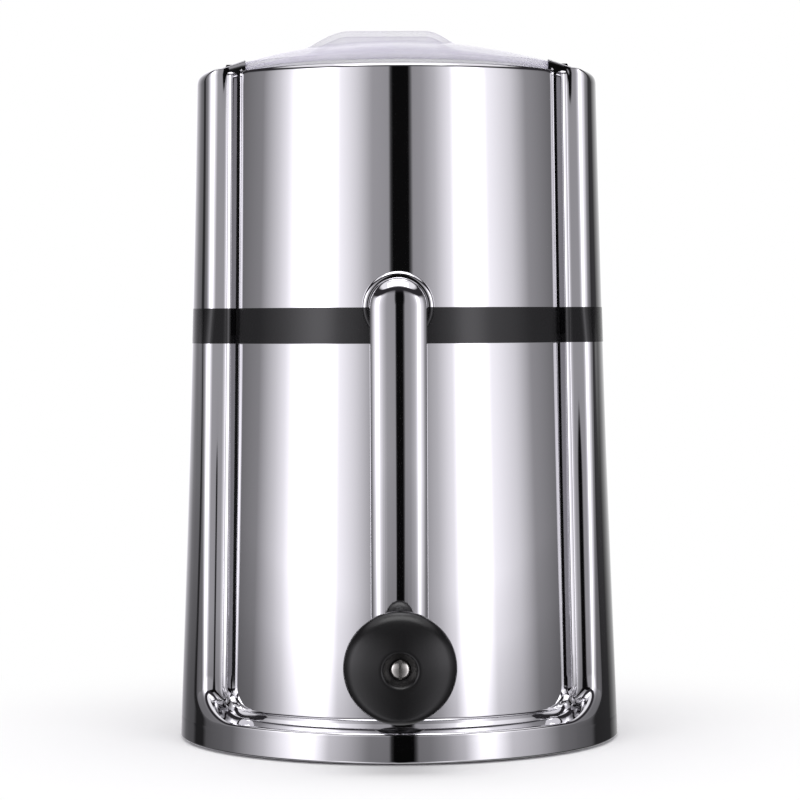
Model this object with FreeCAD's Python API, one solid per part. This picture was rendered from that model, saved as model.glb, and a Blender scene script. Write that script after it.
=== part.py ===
import FreeCAD, Part
import math
import os

# Hand crank ice crusher.
# Lengths are millimetres. Z is up and zero is the surface that it stands on.
# The body axis is Z, the crank is on the -Y side and the ice drawer slides out along +Y.

V = FreeCAD.Vector

# Body outline: radii of the outer surface at the foot, at the band's lower edge and at the lid's shelf
foot_radius = 79.9
waist_radius = 75.0
top_radius = 72.5
shelf_height = 240.3
shell_wall = 2.5
shell_foot = 0.8
foot_bevel = 1.0

# Crown: the tops of the two pillars, sloping up to the lid
crown_height = 244.0
shoulder_height = 241.2
shoulder_drop = 4.2
shoulder_in = 4.6
lid_seat_radius = 60.4
mouth_radius = 54.0

# Window: the recess between the pillars, front and back
window_half_foot = 67.7
window_half_top = 64.3
window_corner = 15.0
window_reach = 7.0
ledge_height = 11.0
pillar_round_foot = 3.6
pillar_round_top = 5.4
pillar_turn = 69.0
pillar_steps = 3

# Channel and drum: what shows inside the window
channel_width = 5.0
channel_foot = 36.3
channel_top = 27.4
panel_inset = 9.0
panel_lift = 2.7
panel_corner = 11.0
plinth_inset = 12.0
bead_width = 3.8
bead_rise = 3.4
bead_edge = 1.1

# Black band at mid height
band_low = 143.5
band_thickness = 12.5
band_lip = 3.0
band_lip_bore = 51.0

# Crank bearing boss, split along the top of the band
boss_radius = 12.4
boss_bore = 9.1
boss_standoff = 5.4
boss_bevel = 1.4

# Screw posts in the pillars
post_x = 64.7
post_y = 15.5
post_radius = 5.2
post_foot = 20.0
post_rise = 34.0
post_rib = 2.0
tie_bore = 1.9
tie_counterbore = 3.8
tie_seat = 10.0
tie_radius = 1.5
tie_head_radius = 3.4
tie_head = 3.0
tie_reach = 16.0

# Fits that several screws share
screw_hole_gap = 0.3
head_gap = 0.2
pilot_clearance = 0.05
pilot_end = 2.0

# Underside
plate_low = 1.2
plate_thickness = 3.5
plate_clearance = 0.4
base_screw_radius = 1.15
base_screw_end = 2.0
base_boss_end = 1.0
base_screw_circle = 71.5
base_screw_angle = 35.0
base_boss_radius = 3.4
base_head_radius = 2.8
base_head = 1.6
foot_inner = 58.0
foot_outer = 66.0
foot_depth = 1.8
foot_clearance = 0.1

# Crusher frame and hopper
frame_half_x = 36.0
frame_half_y = 34.0
frame_wall = 3.0
frame_corner = 5.0
frame_low = 133.0
frame_high = 182.0
deck_radius = 59.0
deck_thickness = 3.0
frame_screw_circle = 55.0
frame_screw_radius = 1.3
frame_head_radius = 2.6
frame_head = 2.0
frame_screw_end = 0.3
bearing_boss_radius = 9.5
bearing_boss_length = 6.0
hopper_wall = 1.8
hopper_top_half = 48.0
hopper_top_corner = 26.0
hopper_flange = 1.8

# Rotor: shaft, toothed blades and the sleeves between them
shaft_radius = 4.0
shaft_square = 8.0
shaft_end_square = 5.6
shaft_end_length = 6.0
shaft_tail = 3.6
running_gap = 0.05
fit_gap = 0.02
stack_gap = 0.1
blade_count = 5
blade_pitch = 12.0
blade_thickness = 2.5
blade_radius = 22.0
blade_root = 12.5
blade_teeth = 6
blade_step = 13.0
sleeve_radius = 7.0
bushing_radius = 7.0
bushing_flange_radius = 9.2
bushing_flange = 1.4
washer_radius = 6.2
washer_thickness = 0.8
clip_radius = 6.2
clip_depth = 0.7
clip_thickness = 1.0
clip_mouth = 3.2

# Fixed combs that the blades pass through
comb_plate = 3.0
comb_half_length = 28.5
comb_low = 150.5
comb_high = 167.0
comb_tooth = 3.0
comb_tip_gap = 1.5
comb_tip_height = 5.0
comb_screw_radius = 1.5
comb_head_radius = 3.0
comb_head = 2.0
comb_screw_offset = 12.0
comb_screw_height = 160.0

# Crank arm and knob
arm_half_width = 9.75
arm_dome_steps = 4
arm_pole = 0.8
arm_gap = 1.2
crank_throw = 120.0
hub_radius = 8.7
hub_length = 6.2
hub_pin_radius = 1.25
hub_pin_inset = 0.2
hub_socket_end = 0.3
knob_radius = 19.0
knob_neck_radius = 8.5
knob_waist_radius = 7.6
knob_length = 28.5
knob_head_length = 15.0
knob_rim_round = 5.0
knob_crown = 2.6
knob_sink_radius = 6.1
knob_sink_depth = 4.2
knob_seat_depth = 2.2
knob_play = 0.15
knob_screw_clearance = 0.06
knob_screw_radius = 2.0
knob_screw_head_radius = 2.7
knob_screw_head = 1.6
knob_screw_reach = 6.0
knob_thread_end = 0.4
knob_seat_gap = 0.6
knob_head_gap = 0.25
knob_washer_radius = 6.8
screw_slot = 0.7

# Lid
lid_radius = 60.0
lid_wall = 2.2
lid_edge = 3.1
lid_apex = 252.4
dome_steps = 4
plug_clearance = 0.6
plug_gap = 0.3
plug_wall = 2.0
seat_rise = 1.2
grip_top = 255.8
grip_low_x = (-33.0, 21.0)
grip_high_x = (-18.0, 10.5)
grip_low_half_y = 19.0
grip_high_half_y = 12.0
grip_low_corner = 9.0
grip_high_corner = 6.0

# Ice drawer: a clear cup behind a plated front
opening_rise = 4.2
opening_corner = 7.0
opening_margin = 0.7
front_gap = 0.4
cup_radius = 59.5
cup_offset = 2.5
cup_flat = 51.0
cup_wall = 2.2
cup_rim_gap = 5.0
cup_floor_gap = 0.3
cup_corner = 5.0
cup_draft = 1.2
sill_gap = 0.3
rail_x = 38.0
rail_width = 4.0
rail_reach = 50.0
rail_root = 1.0
notch_radius = 12.0
front_boss_radius = 4.0
front_screw_radius = 1.4
front_screw_x = 24.0
front_screw_heights = (38.0, 104.0)
front_head_radius = 2.8
front_head = 1.6
front_screw_share = 0.6
front_screw_rest = 0.3

# Heights and places that follow
band_high = band_low + band_thickness
shaft_height = band_high
deck_low = band_low + band_lip
deck_high = deck_low + deck_thickness
plate_high = plate_low + plate_thickness
rail_height = ledge_height + opening_rise + sill_gap
cup_low = rail_height + cup_floor_gap
cup_high = frame_low - cup_rim_gap
knob_height = shaft_height - crank_throw
top_of_all = grip_top + 10.0


def body_radius(z):
    """Radius of the body's outer surface at a height: two tapers that meet inside the band."""
    if z < band_low:
        return foot_radius + (waist_radius - foot_radius) * z / band_low
    return waist_radius + (top_radius - waist_radius) * (z - band_low) / (shelf_height - band_low)


def window_half(z):
    """Half width of the window at a height."""
    share = (z - ledge_height) / (shelf_height - ledge_height)
    return window_half_foot + (window_half_top - window_half_foot) * share


def channel_floor(z):
    """Distance of the channel's floor from the XZ plane at a height."""
    share = (z - ledge_height) / (shelf_height - ledge_height)
    return channel_foot + (channel_top - channel_foot) * share


def polygon(points):
    return Part.makePolygon([V(*p) for p in points] + [V(*points[0])])


def cylinder_z(radius, low, high, x=0.0, y=0.0):
    return Part.makeCylinder(radius, high - low, V(x, y, low))


def bar_z(radius, low, high, x=0.0, y=0.0):
    """An eight sided bar, for posts and screws that stay hidden."""
    outline = [(x + radius * math.cos(math.radians(45 * k)), y + radius * math.sin(math.radians(45 * k)), low)
               for k in range(8)]
    return Part.Face(polygon(outline)).extrude(V(0, 0, high - low))


def bar_along(radius, start, end):
    """An eight sided bar between two points on a line along X or Y."""
    along = end.sub(start)
    bar = bar_z(radius, 0, along.Length)
    bar.Placement = FreeCAD.Placement(start, FreeCAD.Rotation(V(0, 0, 1), along))
    return bar


def cylinder_y(radius, start, end, x=0.0, z=shaft_height):
    low, high = min(start, end), max(start, end)
    return Part.makeCylinder(radius, high - low, V(x, low, z), V(0, 1, 0))


def box(x, y, z):
    return Part.makeBox(x[1] - x[0], y[1] - y[0], z[1] - z[0], V(x[0], y[0], z[0]))


def fused(solids):
    whole = solids[0]
    for solid in solids[1:]:
        whole = whole.fuse(solid)
    return whole.removeSplitter()


def turned(inset, low, high):
    """A solid of revolution whose side is the body's outline, drawn in by an inset."""
    levels = [low] + [band_low] * (low < band_low < high) + [high]
    side = [(body_radius(z) - inset, 0, z) for z in levels]
    return Part.Face(polygon(side + [(0, 0, high), (0, 0, low)])).revolve(V(0, 0, 0), V(0, 0, 1), 360)


def window_prism(side, change, low, high, corner=0.0):
    """A block as wide as the window plus a change, rounded at its two lower corners."""
    outline = polygon([(-window_half(low) - change, 0, low), (window_half(low) + change, 0, low),
                       (window_half(high) + change, 0, high), (-window_half(high) - change, 0, high)])
    block = Part.Face(outline).extrude(V(0, side * 2 * foot_radius, 0))
    if corner:
        edges = [e for e in block.Edges
                 if all(abs(v.Z - low) < 1e-6 for v in e.Vertexes)
                 and abs(e.Vertexes[0].X - e.Vertexes[1].X) < 1e-6]
        block = block.makeFillet(corner, edges)
    return block


def pillar_section(inset, z):
    """The front of the body at a height: both channel floors and the pillars' rounded edges, as a wire."""
    share = (z - ledge_height) / (shelf_height - ledge_height)
    edge = pillar_round_foot + (pillar_round_top - pillar_round_foot) * share
    across = channel_floor(z) - edge
    centre = math.sqrt((body_radius(z) - edge) ** 2 - across ** 2)
    radius = edge - inset
    reach = 2 * foot_radius
    turns = [math.radians(pillar_turn * k / pillar_steps) for k in range(pillar_steps + 1)]
    right = [(centre + radius * math.sin(turn), -across - radius * math.cos(turn), z) for turn in turns]
    left = [(-x, y, z) for x, y, z in reversed(right)]
    return polygon(right + [(right[-1][0], -reach, z), (left[0][0], -reach, z)] + left)


def pillar_front(side, inset):
    """What lies in front of the channel floors and of the pillars' rounded edges."""
    levels = (-1, band_low, top_of_all)
    block = Part.makeLoft([pillar_section(inset, z) for z in levels], True, True)
    if side > 0:
        block.rotate(V(0, 0, 0), V(0, 0, 1), 180)
    return block


def drum(side, inset):
    """The panel that stands in a window, with its two beads and its plinth."""
    high = shelf_height - inset
    foot = ledge_height + panel_lift + inset
    edge = -channel_width - inset
    field = turned(panel_inset + inset, 0, high)
    panel = field.common(window_prism(side, edge, foot, high, panel_corner))
    plinth = turned(plinth_inset + inset, 0, high).common(
        window_prism(side, edge - panel_lift, -1, high))
    if inset:
        return panel.fuse(plinth)
    bead_field = turned(panel_inset - bead_rise, 0, high).common(
        window_prism(side, edge, foot, high, panel_corner))
    beads = bead_field.cut(window_prism(side, edge - bead_width, -1, top_of_all))
    return panel.fuse(plinth).fuse(beads)


def recess(side, inset):
    """What a window takes out of the turned body."""
    block = window_prism(side, window_reach + inset, ledge_height - inset, top_of_all, window_corner + inset)
    return block.common(pillar_front(side, inset)).cut(drum(side, inset))


def crown_cutter():
    """What is cut off above the crown: eased shoulders, sloping pillar tops and the lid's seat."""
    skin = body_radius(shoulder_height)
    slope = (crown_height - shoulder_height) / (skin - lid_seat_radius)
    outline = [(skin + 1, shoulder_height - shoulder_drop - 2), (skin, shoulder_height - shoulder_drop),
               (skin - shoulder_in * 0.3, shoulder_height - shoulder_drop * 0.3),
               (skin - shoulder_in, shoulder_height + shoulder_in * slope), (lid_seat_radius, crown_height),
               (lid_seat_radius, shelf_height), (0, shelf_height), (0, top_of_all + 1),
               (2 * foot_radius, top_of_all + 1), (2 * foot_radius, shoulder_height - shoulder_drop - 2)]
    return Part.Face(polygon([(x, 0, z) for x, z in outline])).revolve(V(0, 0, 0), V(0, 0, 1), 360)


def on_foot(edge):
    """Whether an edge is the outline of the body's underside."""
    middle = edge.valueAt((edge.FirstParameter + edge.LastParameter) / 2)
    return abs(middle.z - shell_foot) < 1e-4 and math.hypot(middle.x, middle.y) > 1


def on_bead(edge):
    """Whether an edge runs along the top of a bead."""
    middle = edge.valueAt((edge.FirstParameter + edge.LastParameter) / 2)
    rise = body_radius(middle.z) - panel_inset + bead_rise
    return edge.Length > 20 and abs(math.hypot(middle.x, middle.y) - rise) < 0.05


def outer_form(low, high):
    """The body's outer form between two heights on one taper, with its windows and softened edges."""
    body = turned(0, low, high).cut(recess(-1, 0)).cut(recess(1, 0))
    return body.makeChamfer(bead_edge, [e for e in body.Edges if on_bead(e)])


def cavity():
    """The hollow inside the shells, one wall in from the outer form."""
    hollow = turned(shell_wall, -5, shelf_height - shell_wall)
    return hollow.cut(recess(-1, shell_wall)).cut(recess(1, shell_wall))


CAVITY = cavity()
UPPER_FORM = outer_form(band_low, top_of_all).cut(crown_cutter())


def slab(low, high):
    reach = 2 * foot_radius
    return box((-reach, reach), (-reach, reach), (low, high))


def post_places():
    return [(x, y) for x in (-post_x, post_x) for y in (-post_y, post_y)]


def posts(low, high):
    """Screw posts in the pillars, each with a rib to the shell."""
    skin = turned(shell_wall / 2, low, high)
    solids = []
    for x, y in post_places():
        outward = math.copysign(1, x)
        rib = box(sorted((x, outward * foot_radius)), (y - post_rib / 2, y + post_rib / 2), (low, high))
        solids.append(bar_z(post_radius, low, high, x, y).fuse(rib.common(skin)))
    return solids


def bored(shape, radius, low, high, places):
    for x, y in places:
        shape = shape.cut(cylinder_z(radius, low, high, x, y))
    return shape


def boss_front():
    return -(body_radius(shaft_height) - panel_inset + boss_standoff)


def boss_half(upper):
    """Half of the ring round the crank's hub: the upper half is plated, the lower one black."""
    ring = cylinder_y(boss_radius, boss_front(), boss_front() + boss_standoff + shell_wall)
    rim = [e for e in ring.Edges if abs(e.BoundBox.YMin - boss_front()) < 1e-6 and e.BoundBox.YLength < 1e-6]
    ring = ring.makeChamfer(boss_bevel, rim)
    keep = (shaft_height, shaft_height + 2 * boss_radius) if upper else (
        shaft_height - 2 * boss_radius, shaft_height)
    return ring.common(box((-2 * boss_radius, 2 * boss_radius), (-2 * foot_radius, 0), keep))


def hub_hole():
    return cylinder_y(boss_bore, -2 * foot_radius, -frame_half_y)


def upper_shell():
    """Plated shell from the band up to the lid seat."""
    outer = UPPER_FORM.common(slab(band_high, top_of_all))
    shell = outer.cut(CAVITY).cut(cylinder_z(mouth_radius, band_high, top_of_all))
    shell = fused([shell] + posts(band_high, band_high + post_rise) + [boss_half(True)])
    shell = bored(shell, tie_radius + pilot_clearance, band_high, band_high + tie_reach + pilot_end,
                  post_places())
    return shell.cut(hub_hole())


def middle_band():
    """Black ring between the shells, with the lip that carries the crusher frame."""
    outer = UPPER_FORM.common(slab(band_low, band_high))
    ring = outer.cut(CAVITY.common(slab(deck_low, band_high)))
    ring = ring.cut(cylinder_z(band_lip_bore, band_low, band_high))
    ring = fused([ring] + posts(band_low, band_high) + [boss_half(False)])
    ring = bored(ring, tie_bore, band_low, band_high, post_places())
    ring = bored(ring, frame_screw_radius + pilot_clearance, band_low, band_high, frame_screw_places())
    return ring.cut(hub_hole())


def drawer_opening(clearance):
    """The way out of the lower shell for the drawer, drawn in by a clearance."""
    low = ledge_height + opening_rise + clearance
    change = -channel_width - bead_width - opening_margin - clearance
    return window_prism(1, change, low, band_low - clearance, opening_corner)


def lower_shell():
    """Plated shell from the foot to the band, open at the back for the drawer."""
    outer = outer_form(shell_foot, band_low)
    outer = outer.makeChamfer(foot_bevel, [e for e in outer.Edges if on_foot(e)])
    shell = outer.cut(CAVITY).cut(drawer_opening(0))
    bosses = [cylinder_z(base_boss_radius, plate_high, ledge_height - base_boss_end, x, y)
              for x, y in base_screw_places()]
    shell = fused([shell] + posts(post_foot, band_low) + bosses)
    shell = bored(shell, tie_bore, post_foot, band_low, post_places())
    shell = bored(shell, tie_counterbore, post_foot, band_low - tie_seat, post_places())
    return bored(shell, base_screw_radius + pilot_clearance, plate_high,
                 ledge_height - base_boss_end - screw_hole_gap, base_screw_places())


def base_screw_places():
    angle = math.radians(base_screw_angle)
    x, y = base_screw_circle * math.sin(angle), base_screw_circle * math.cos(angle)
    return [(sx * x, sy * y) for sx in (-1, 1) for sy in (-1, 1)]


def base_plate():
    """Black floor plate with the two rails that the drawer slides on."""
    radius = body_radius(plate_high) - shell_wall - plate_clearance
    plate = cylinder_z(radius, plate_low, plate_high)
    rails = [box((x - rail_width / 2, x + rail_width / 2), (-rail_reach, rail_reach),
                 (plate_low + rail_root, rail_height)) for x in (-rail_x, rail_x)]
    plate = fused([plate] + rails)
    groove = cylinder_z(foot_outer, plate_low, plate_low + foot_depth).cut(
        cylinder_z(foot_inner, plate_low, plate_low + foot_depth))
    plate = bored(plate.cut(groove), base_screw_radius + screw_hole_gap, plate_low, plate_high,
                  base_screw_places())
    return bored(plate, base_head_radius + head_gap, plate_low, base_screw_seat(), base_screw_places())


def foot_ring():
    """Rubber ring that the crusher stands on, held in the floor plate's groove."""
    top = plate_low + foot_depth
    ring = cylinder_z(foot_outer - foot_clearance, 0, top)
    return ring.cut(cylinder_z(foot_inner + foot_clearance, 0, top))


def base_screw_seat():
    return plate_low + base_head + head_gap


def base_screws():
    """Four screws that hold the floor plate to the lower shell."""
    seat = base_screw_seat()
    return [bar_z(base_head_radius, seat - base_head, seat, x, y).fuse(
        bar_z(base_screw_radius, seat, ledge_height - base_screw_end, x, y)) for x, y in base_screw_places()]


def tie_screws():
    """Four screws up through the band that draw the two shells together."""
    seat = band_low - tie_seat
    return [bar_z(tie_head_radius, seat - tie_head, seat, x, y).fuse(
        bar_z(tie_radius, seat, band_high + tie_reach, x, y)) for x, y in post_places()]


def rounded_block(half_x, half_y, corner, low, high):
    block = box((-half_x, half_x), (-half_y, half_y), (low, high))
    upright = [e for e in block.Edges if abs(e.Vertexes[0].Z - e.Vertexes[1].Z) > 1e-6]
    return block.makeFillet(corner, upright)


def frame_screw_places():
    reach = frame_screw_circle / math.sqrt(2)
    return [(x, y) for x in (-reach, reach) for y in (-reach, reach)]


def crusher_frame():
    """Square throat on a round deck, with the two bearing seats."""
    outer = rounded_block(frame_half_x + frame_wall, frame_half_y + frame_wall, frame_corner + frame_wall,
                          frame_low, frame_high)
    deck = cylinder_z(deck_radius, deck_low, deck_high)
    reach = frame_half_y + frame_wall + bearing_boss_length
    seats = cylinder_y(bearing_boss_radius, -reach, reach)
    frame = fused([outer, deck, seats])
    frame = frame.cut(rounded_block(frame_half_x, frame_half_y, frame_corner, frame_low, frame_high))
    frame = frame.cut(cylinder_y(bushing_radius, -reach, reach))
    for y in (-comb_screw_offset, comb_screw_offset):
        hole = Part.makeCylinder(comb_screw_radius + screw_hole_gap, 4 * frame_half_x,
                                 V(-2 * frame_half_x, y, comb_screw_height), V(1, 0, 0))
        frame = frame.cut(hole)
    return bored(frame, frame_screw_radius + screw_hole_gap, deck_low, deck_high, frame_screw_places())


def frame_screws():
    """Four screws that hold the frame's deck to the band's lip."""
    end = band_low + frame_screw_end
    return [bar_z(frame_head_radius, deck_high, deck_high + frame_head, x, y).fuse(
        bar_z(frame_screw_radius, end, deck_high, x, y)) for x, y in frame_screw_places()]


def rounded_wire(half_x, half_y, corner, z):
    """A rounded rectangle as a closed wire of eight edges."""
    edges = []
    for k, (sx, sy) in enumerate(((1, -1), (1, 1), (-1, 1), (-1, -1))):
        cx, cy = sx * (half_x - corner), sy * (half_y - corner)
        turn = [math.radians(90 * k - 90 + step) for step in (0, 45, 90)]
        arc = [V(cx + corner * math.cos(t), cy + corner * math.sin(t), z) for t in turn]
        edges.append((arc[0], arc[2], Part.Arc(*arc).toShape()))
    wire = []
    for k in range(4):
        wire.append(edges[k][2])
        wire.append(Part.LineSegment(edges[k][1], edges[(k + 1) % 4][0]).toShape())
    return Part.Wire(wire)


def bevelled_wire(half_x, half_y, corner, z):
    """A rectangle with bevelled corners as a closed wire of eight edges."""
    x, y = half_x - corner, half_y - corner
    outline = [(half_x, -y), (half_x, y), (x, half_y), (-x, half_y),
               (-half_x, y), (-half_x, -y), (-x, -half_y), (x, -half_y)]
    return polygon([(px, py, z) for px, py in outline])


def funnel(grow, low, high):
    """A solid funnel from the throat's rectangle up to an eight sided mouth."""
    bevel = hopper_top_corner + grow * math.tan(math.radians(22.5))
    return Part.makeLoft([
        bevelled_wire(frame_half_x + grow, frame_half_y + grow, frame_corner, low),
        bevelled_wire(hopper_top_half + grow, hopper_top_half + grow, bevel, high)], True, True)


def hopper():
    """Funnel from the mouth down to the throat, with the flange that meets the upper shell."""
    high = shelf_height - shell_wall
    flange = cylinder_z(mouth_radius + hopper_wall, high - hopper_flange, high)
    return funnel(hopper_wall, frame_high, high).fuse(flange).cut(funnel(0, frame_high, high))


def bushing(side):
    """Bearing sleeve with its flange inside the throat."""
    outer_end = side * (frame_half_y + frame_wall + bearing_boss_length)
    wall = side * frame_half_y
    sleeve = cylinder_y(bushing_radius - fit_gap, wall, outer_end)
    flange = cylinder_y(bushing_flange_radius, wall - side * bushing_flange, wall)
    return sleeve.fuse(flange).cut(cylinder_y(shaft_radius + running_gap, outer_end, 0))


def comb(side):
    """Stamped comb on one side of the throat, its teeth between the blades."""
    wall = frame_half_x
    root = wall - comb_plate
    tip = sleeve_radius + comb_tip_gap
    plate = box(sorted((side * root, side * wall)), (-comb_half_length, comb_half_length),
                (comb_low, comb_high))
    solids = [plate]
    for k in range(blade_count - 1):
        y = (k - (blade_count - 2) / 2) * blade_pitch
        start = y - comb_tooth / 2
        outline = polygon([(side * root, start, comb_low), (side * root, start, comb_high),
                           (side * tip, start, shaft_height + comb_tip_height / 2),
                           (side * tip, start, shaft_height - comb_tip_height / 2)])
        solids.append(Part.Face(outline).extrude(V(0, comb_tooth, 0)))
    whole = fused(solids)
    for y in (-comb_screw_offset, comb_screw_offset):
        whole = whole.cut(Part.makeCylinder(comb_screw_radius + pilot_clearance, 4 * wall,
                                            V(-2 * wall, y, comb_screw_height), V(1, 0, 0)))
    return whole


def comb_screws():
    """Four screws through the throat's side walls into the combs."""
    outside = frame_half_x + frame_wall
    solids = []
    for side in (-1, 1):
        for y in (-comb_screw_offset, comb_screw_offset):
            places = [V(side * x, y, comb_screw_height)
                      for x in (frame_half_x - comb_plate, outside, outside + comb_head)]
            shank = bar_along(comb_screw_radius, places[0], places[1])
            solids.append(shank.fuse(bar_along(comb_head_radius, places[1], places[2])))
    return solids


def square_bar(size, start, end):
    half = size / 2
    return box((-half, half), sorted((start, end)), (shaft_height - half, shaft_height + half))


def arm_back():
    return boss_front() - arm_gap


def washer_start():
    """The rear washer's face, a running gap behind the rear bearing seat."""
    return frame_half_y + frame_wall + bearing_boss_length + running_gap


def clip_start():
    """Where the retaining clip's groove begins, just past the washer."""
    return washer_start() + washer_thickness + running_gap


def stack_half():
    """Half length of the square stretch that carries blades and sleeves."""
    return frame_half_y - bushing_flange - stack_gap


def rotor_shaft():
    """Steel shaft: square through the blades, round in the bearings, square again in the hub."""
    tail = clip_start() + clip_thickness + shaft_tail
    shaft = cylinder_y(shaft_radius, arm_back(), tail)
    shaft = shaft.fuse(square_bar(shaft_square, -stack_half(), stack_half()))
    shaft = shaft.fuse(square_bar(shaft_end_square, arm_back() - shaft_end_length, arm_back()))
    groove = cylinder_y(shaft_radius + 1, clip_start(), clip_start() + clip_thickness).cut(
        cylinder_y(shaft_radius - clip_depth, clip_start(), clip_start() + clip_thickness))
    pin_hole = Part.makeCylinder(hub_pin_radius, 4 * hub_radius,
                                 V(-2 * hub_radius, pin_place(), shaft_height), V(1, 0, 0))
    return shaft.cut(groove).cut(pin_hole)


def blade_place(k):
    return (k - (blade_count - 1) / 2) * blade_pitch


def rotor_blade(k):
    """Toothed blade, each one turned a step further round than the last."""
    y = blade_place(k) - blade_thickness / 2
    points = []
    pitch = 360 / blade_teeth
    outline = ((0.0, blade_root), (0.28, blade_radius), (0.46, blade_radius), (0.72, blade_root))
    for tooth in range(blade_teeth):
        for share, radius in outline:
            angle = math.radians(blade_step * k + pitch * (tooth + share))
            points.append((radius * math.cos(angle), y, shaft_height + radius * math.sin(angle)))
    blade = Part.Face(polygon(points)).extrude(V(0, blade_thickness, 0))
    return blade.cut(square_bar(shaft_square + 2 * running_gap, y - 1, y + blade_thickness + 1))


def sleeve_ends(k):
    """Start and end of the sleeve before blade k; the last one follows the last blade."""
    start = -stack_half() if k == 0 else blade_place(k - 1) + blade_thickness / 2
    end = stack_half() if k == blade_count else blade_place(k) - blade_thickness / 2
    return start, end


def rotor_sleeve(k):
    """Sleeve that keeps two blades apart."""
    start, end = sleeve_ends(k)
    bore = square_bar(shaft_square + 2 * running_gap, start - 1, end + 1)
    return cylinder_y(sleeve_radius, start, end).cut(bore)


def shaft_washer():
    """Washer between the rear bushing and the clip."""
    start, end = washer_start(), washer_start() + washer_thickness
    return cylinder_y(washer_radius, start, end).cut(cylinder_y(shaft_radius + running_gap, start, end))


def shaft_clip():
    """Open spring clip in the shaft's groove."""
    start, end = clip_start() + running_gap, clip_start() + clip_thickness - running_gap
    bore = cylinder_y(shaft_radius - clip_depth + fit_gap, start, end)
    ring = cylinder_y(clip_radius, start, end).cut(bore)
    mouth = box((-clip_mouth / 2, clip_mouth / 2), (start - 1, end + 1),
                (shaft_height, shaft_height + 2 * clip_radius))
    return ring.cut(mouth)


def pin_place():
    return arm_back() + hub_length / 2


def arm_front():
    return arm_back() - arm_half_width


def knob_seat():
    return arm_front() + knob_seat_depth


def crank_arm():
    """Plated half round arm with domed ends, its hub behind and a flat seat for the knob."""
    steps = [math.radians(90 * k / arm_dome_steps) for k in range(arm_dome_steps + 1)]
    upper = [(max(arm_half_width * math.cos(t), arm_pole), shaft_height + arm_half_width * math.sin(t))
             for t in steps]
    upper.append((0, upper[-1][1]))
    lower = [(x, knob_height + shaft_height - z) for x, z in reversed(upper)]
    profile = polygon([(-x, arm_back(), z) for x, z in lower + upper])
    arm = Part.Face(profile).revolve(V(0, arm_back(), 0), V(0, 0, 1), 180)
    arm = arm.fuse(cylinder_y(hub_radius, arm_back(), arm_back() + hub_length)).removeSplitter()
    arm = arm.cut(cylinder_y(shaft_radius + fit_gap, arm_back(), arm_back() + hub_length))
    socket = arm_back() - shaft_end_length - hub_socket_end
    arm = arm.cut(square_bar(shaft_end_square + 2 * fit_gap, socket, arm_back()))
    arm = arm.cut(Part.makeCylinder(hub_pin_radius, 4 * hub_radius,
                                    V(-2 * hub_radius, pin_place(), shaft_height), V(1, 0, 0)))
    seat = cylinder_y(knob_neck_radius + knob_seat_gap, knob_seat(), arm_front() - 1, 0, knob_height)
    thread_end = knob_seat() + knob_screw_reach + knob_thread_end
    thread = cylinder_y(knob_screw_radius + fit_gap, arm_front() - 1, thread_end, 0, knob_height)
    return arm.cut(seat).cut(thread)


def hub_pin():
    """Cross pin that locks the arm to the shaft, hidden inside the boss."""
    half = hub_radius - hub_pin_inset
    return Part.makeCylinder(hub_pin_radius - fit_gap / 2, 2 * half, V(-half, pin_place(), shaft_height),
                             V(1, 0, 0))


def knob_washer():
    """Washer between arm and knob."""
    front = knob_seat() - washer_thickness
    ring = cylinder_y(knob_washer_radius, knob_seat(), front, 0, knob_height)
    return ring.cut(cylinder_y(knob_screw_radius + knob_screw_clearance, knob_seat(), front, 0, knob_height))


def knob_back():
    return knob_seat() - washer_thickness - knob_play


def knob():
    """Black mushroom knob, turned about its screw."""
    back, front = knob_back(), knob_back() - knob_length
    shoulder = back - (knob_length - knob_head_length)
    rim = front + knob_crown + knob_rim_round
    bore = knob_screw_radius + knob_screw_clearance
    sink = front + knob_sink_depth
    head_bore = knob_screw_head_radius + knob_head_gap
    centre = knob_radius - knob_rim_round
    rim_points = [(centre + knob_rim_round * math.cos(math.radians(t)),
                   rim - knob_rim_round * math.sin(math.radians(t))) for t in (0, 30, 60, 90)]
    outline = [(bore, back), (knob_neck_radius, back), (knob_waist_radius, (back + shoulder) / 2 + 2),
               (knob_waist_radius, (back + shoulder) / 2 - 2), (knob_neck_radius + 1.0, shoulder),
               (knob_radius - 2.5, shoulder - 1.5), (knob_radius - 0.7, shoulder - 3.0),
               (knob_radius, shoulder - 5.0)] + rim_points + [
        ((centre + knob_sink_radius) / 2, front + knob_crown * 0.3), (knob_sink_radius, front),
        (head_bore, sink - knob_screw_head), (head_bore, sink), (bore, sink)]
    profile = Part.Face(polygon([(r, y, knob_height) for r, y in outline]))
    return profile.revolve(V(0, 0, knob_height), V(0, 1, 0), 360)


def knob_screw():
    """Shouldered screw that the knob spins on, with a straight slot."""
    under = knob_back() - knob_length + knob_sink_depth - knob_play
    top = under - knob_screw_head
    head = cylinder_y(knob_screw_head_radius, under, top, 0, knob_height)
    edge = [e for e in head.Edges if abs(e.BoundBox.YMin - top) < 1e-6 and e.BoundBox.YLength < 1e-6]
    head = head.makeChamfer(knob_screw_head * 0.35, edge)
    shank = cylinder_y(knob_screw_radius, under, knob_seat() + knob_screw_reach, 0, knob_height)
    slot = box((-screw_slot / 2, screw_slot / 2), (top - 1, top + knob_screw_head * 0.5),
               (knob_height - 5, knob_height + 5))
    return head.fuse(shank).cut(slot)


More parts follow.
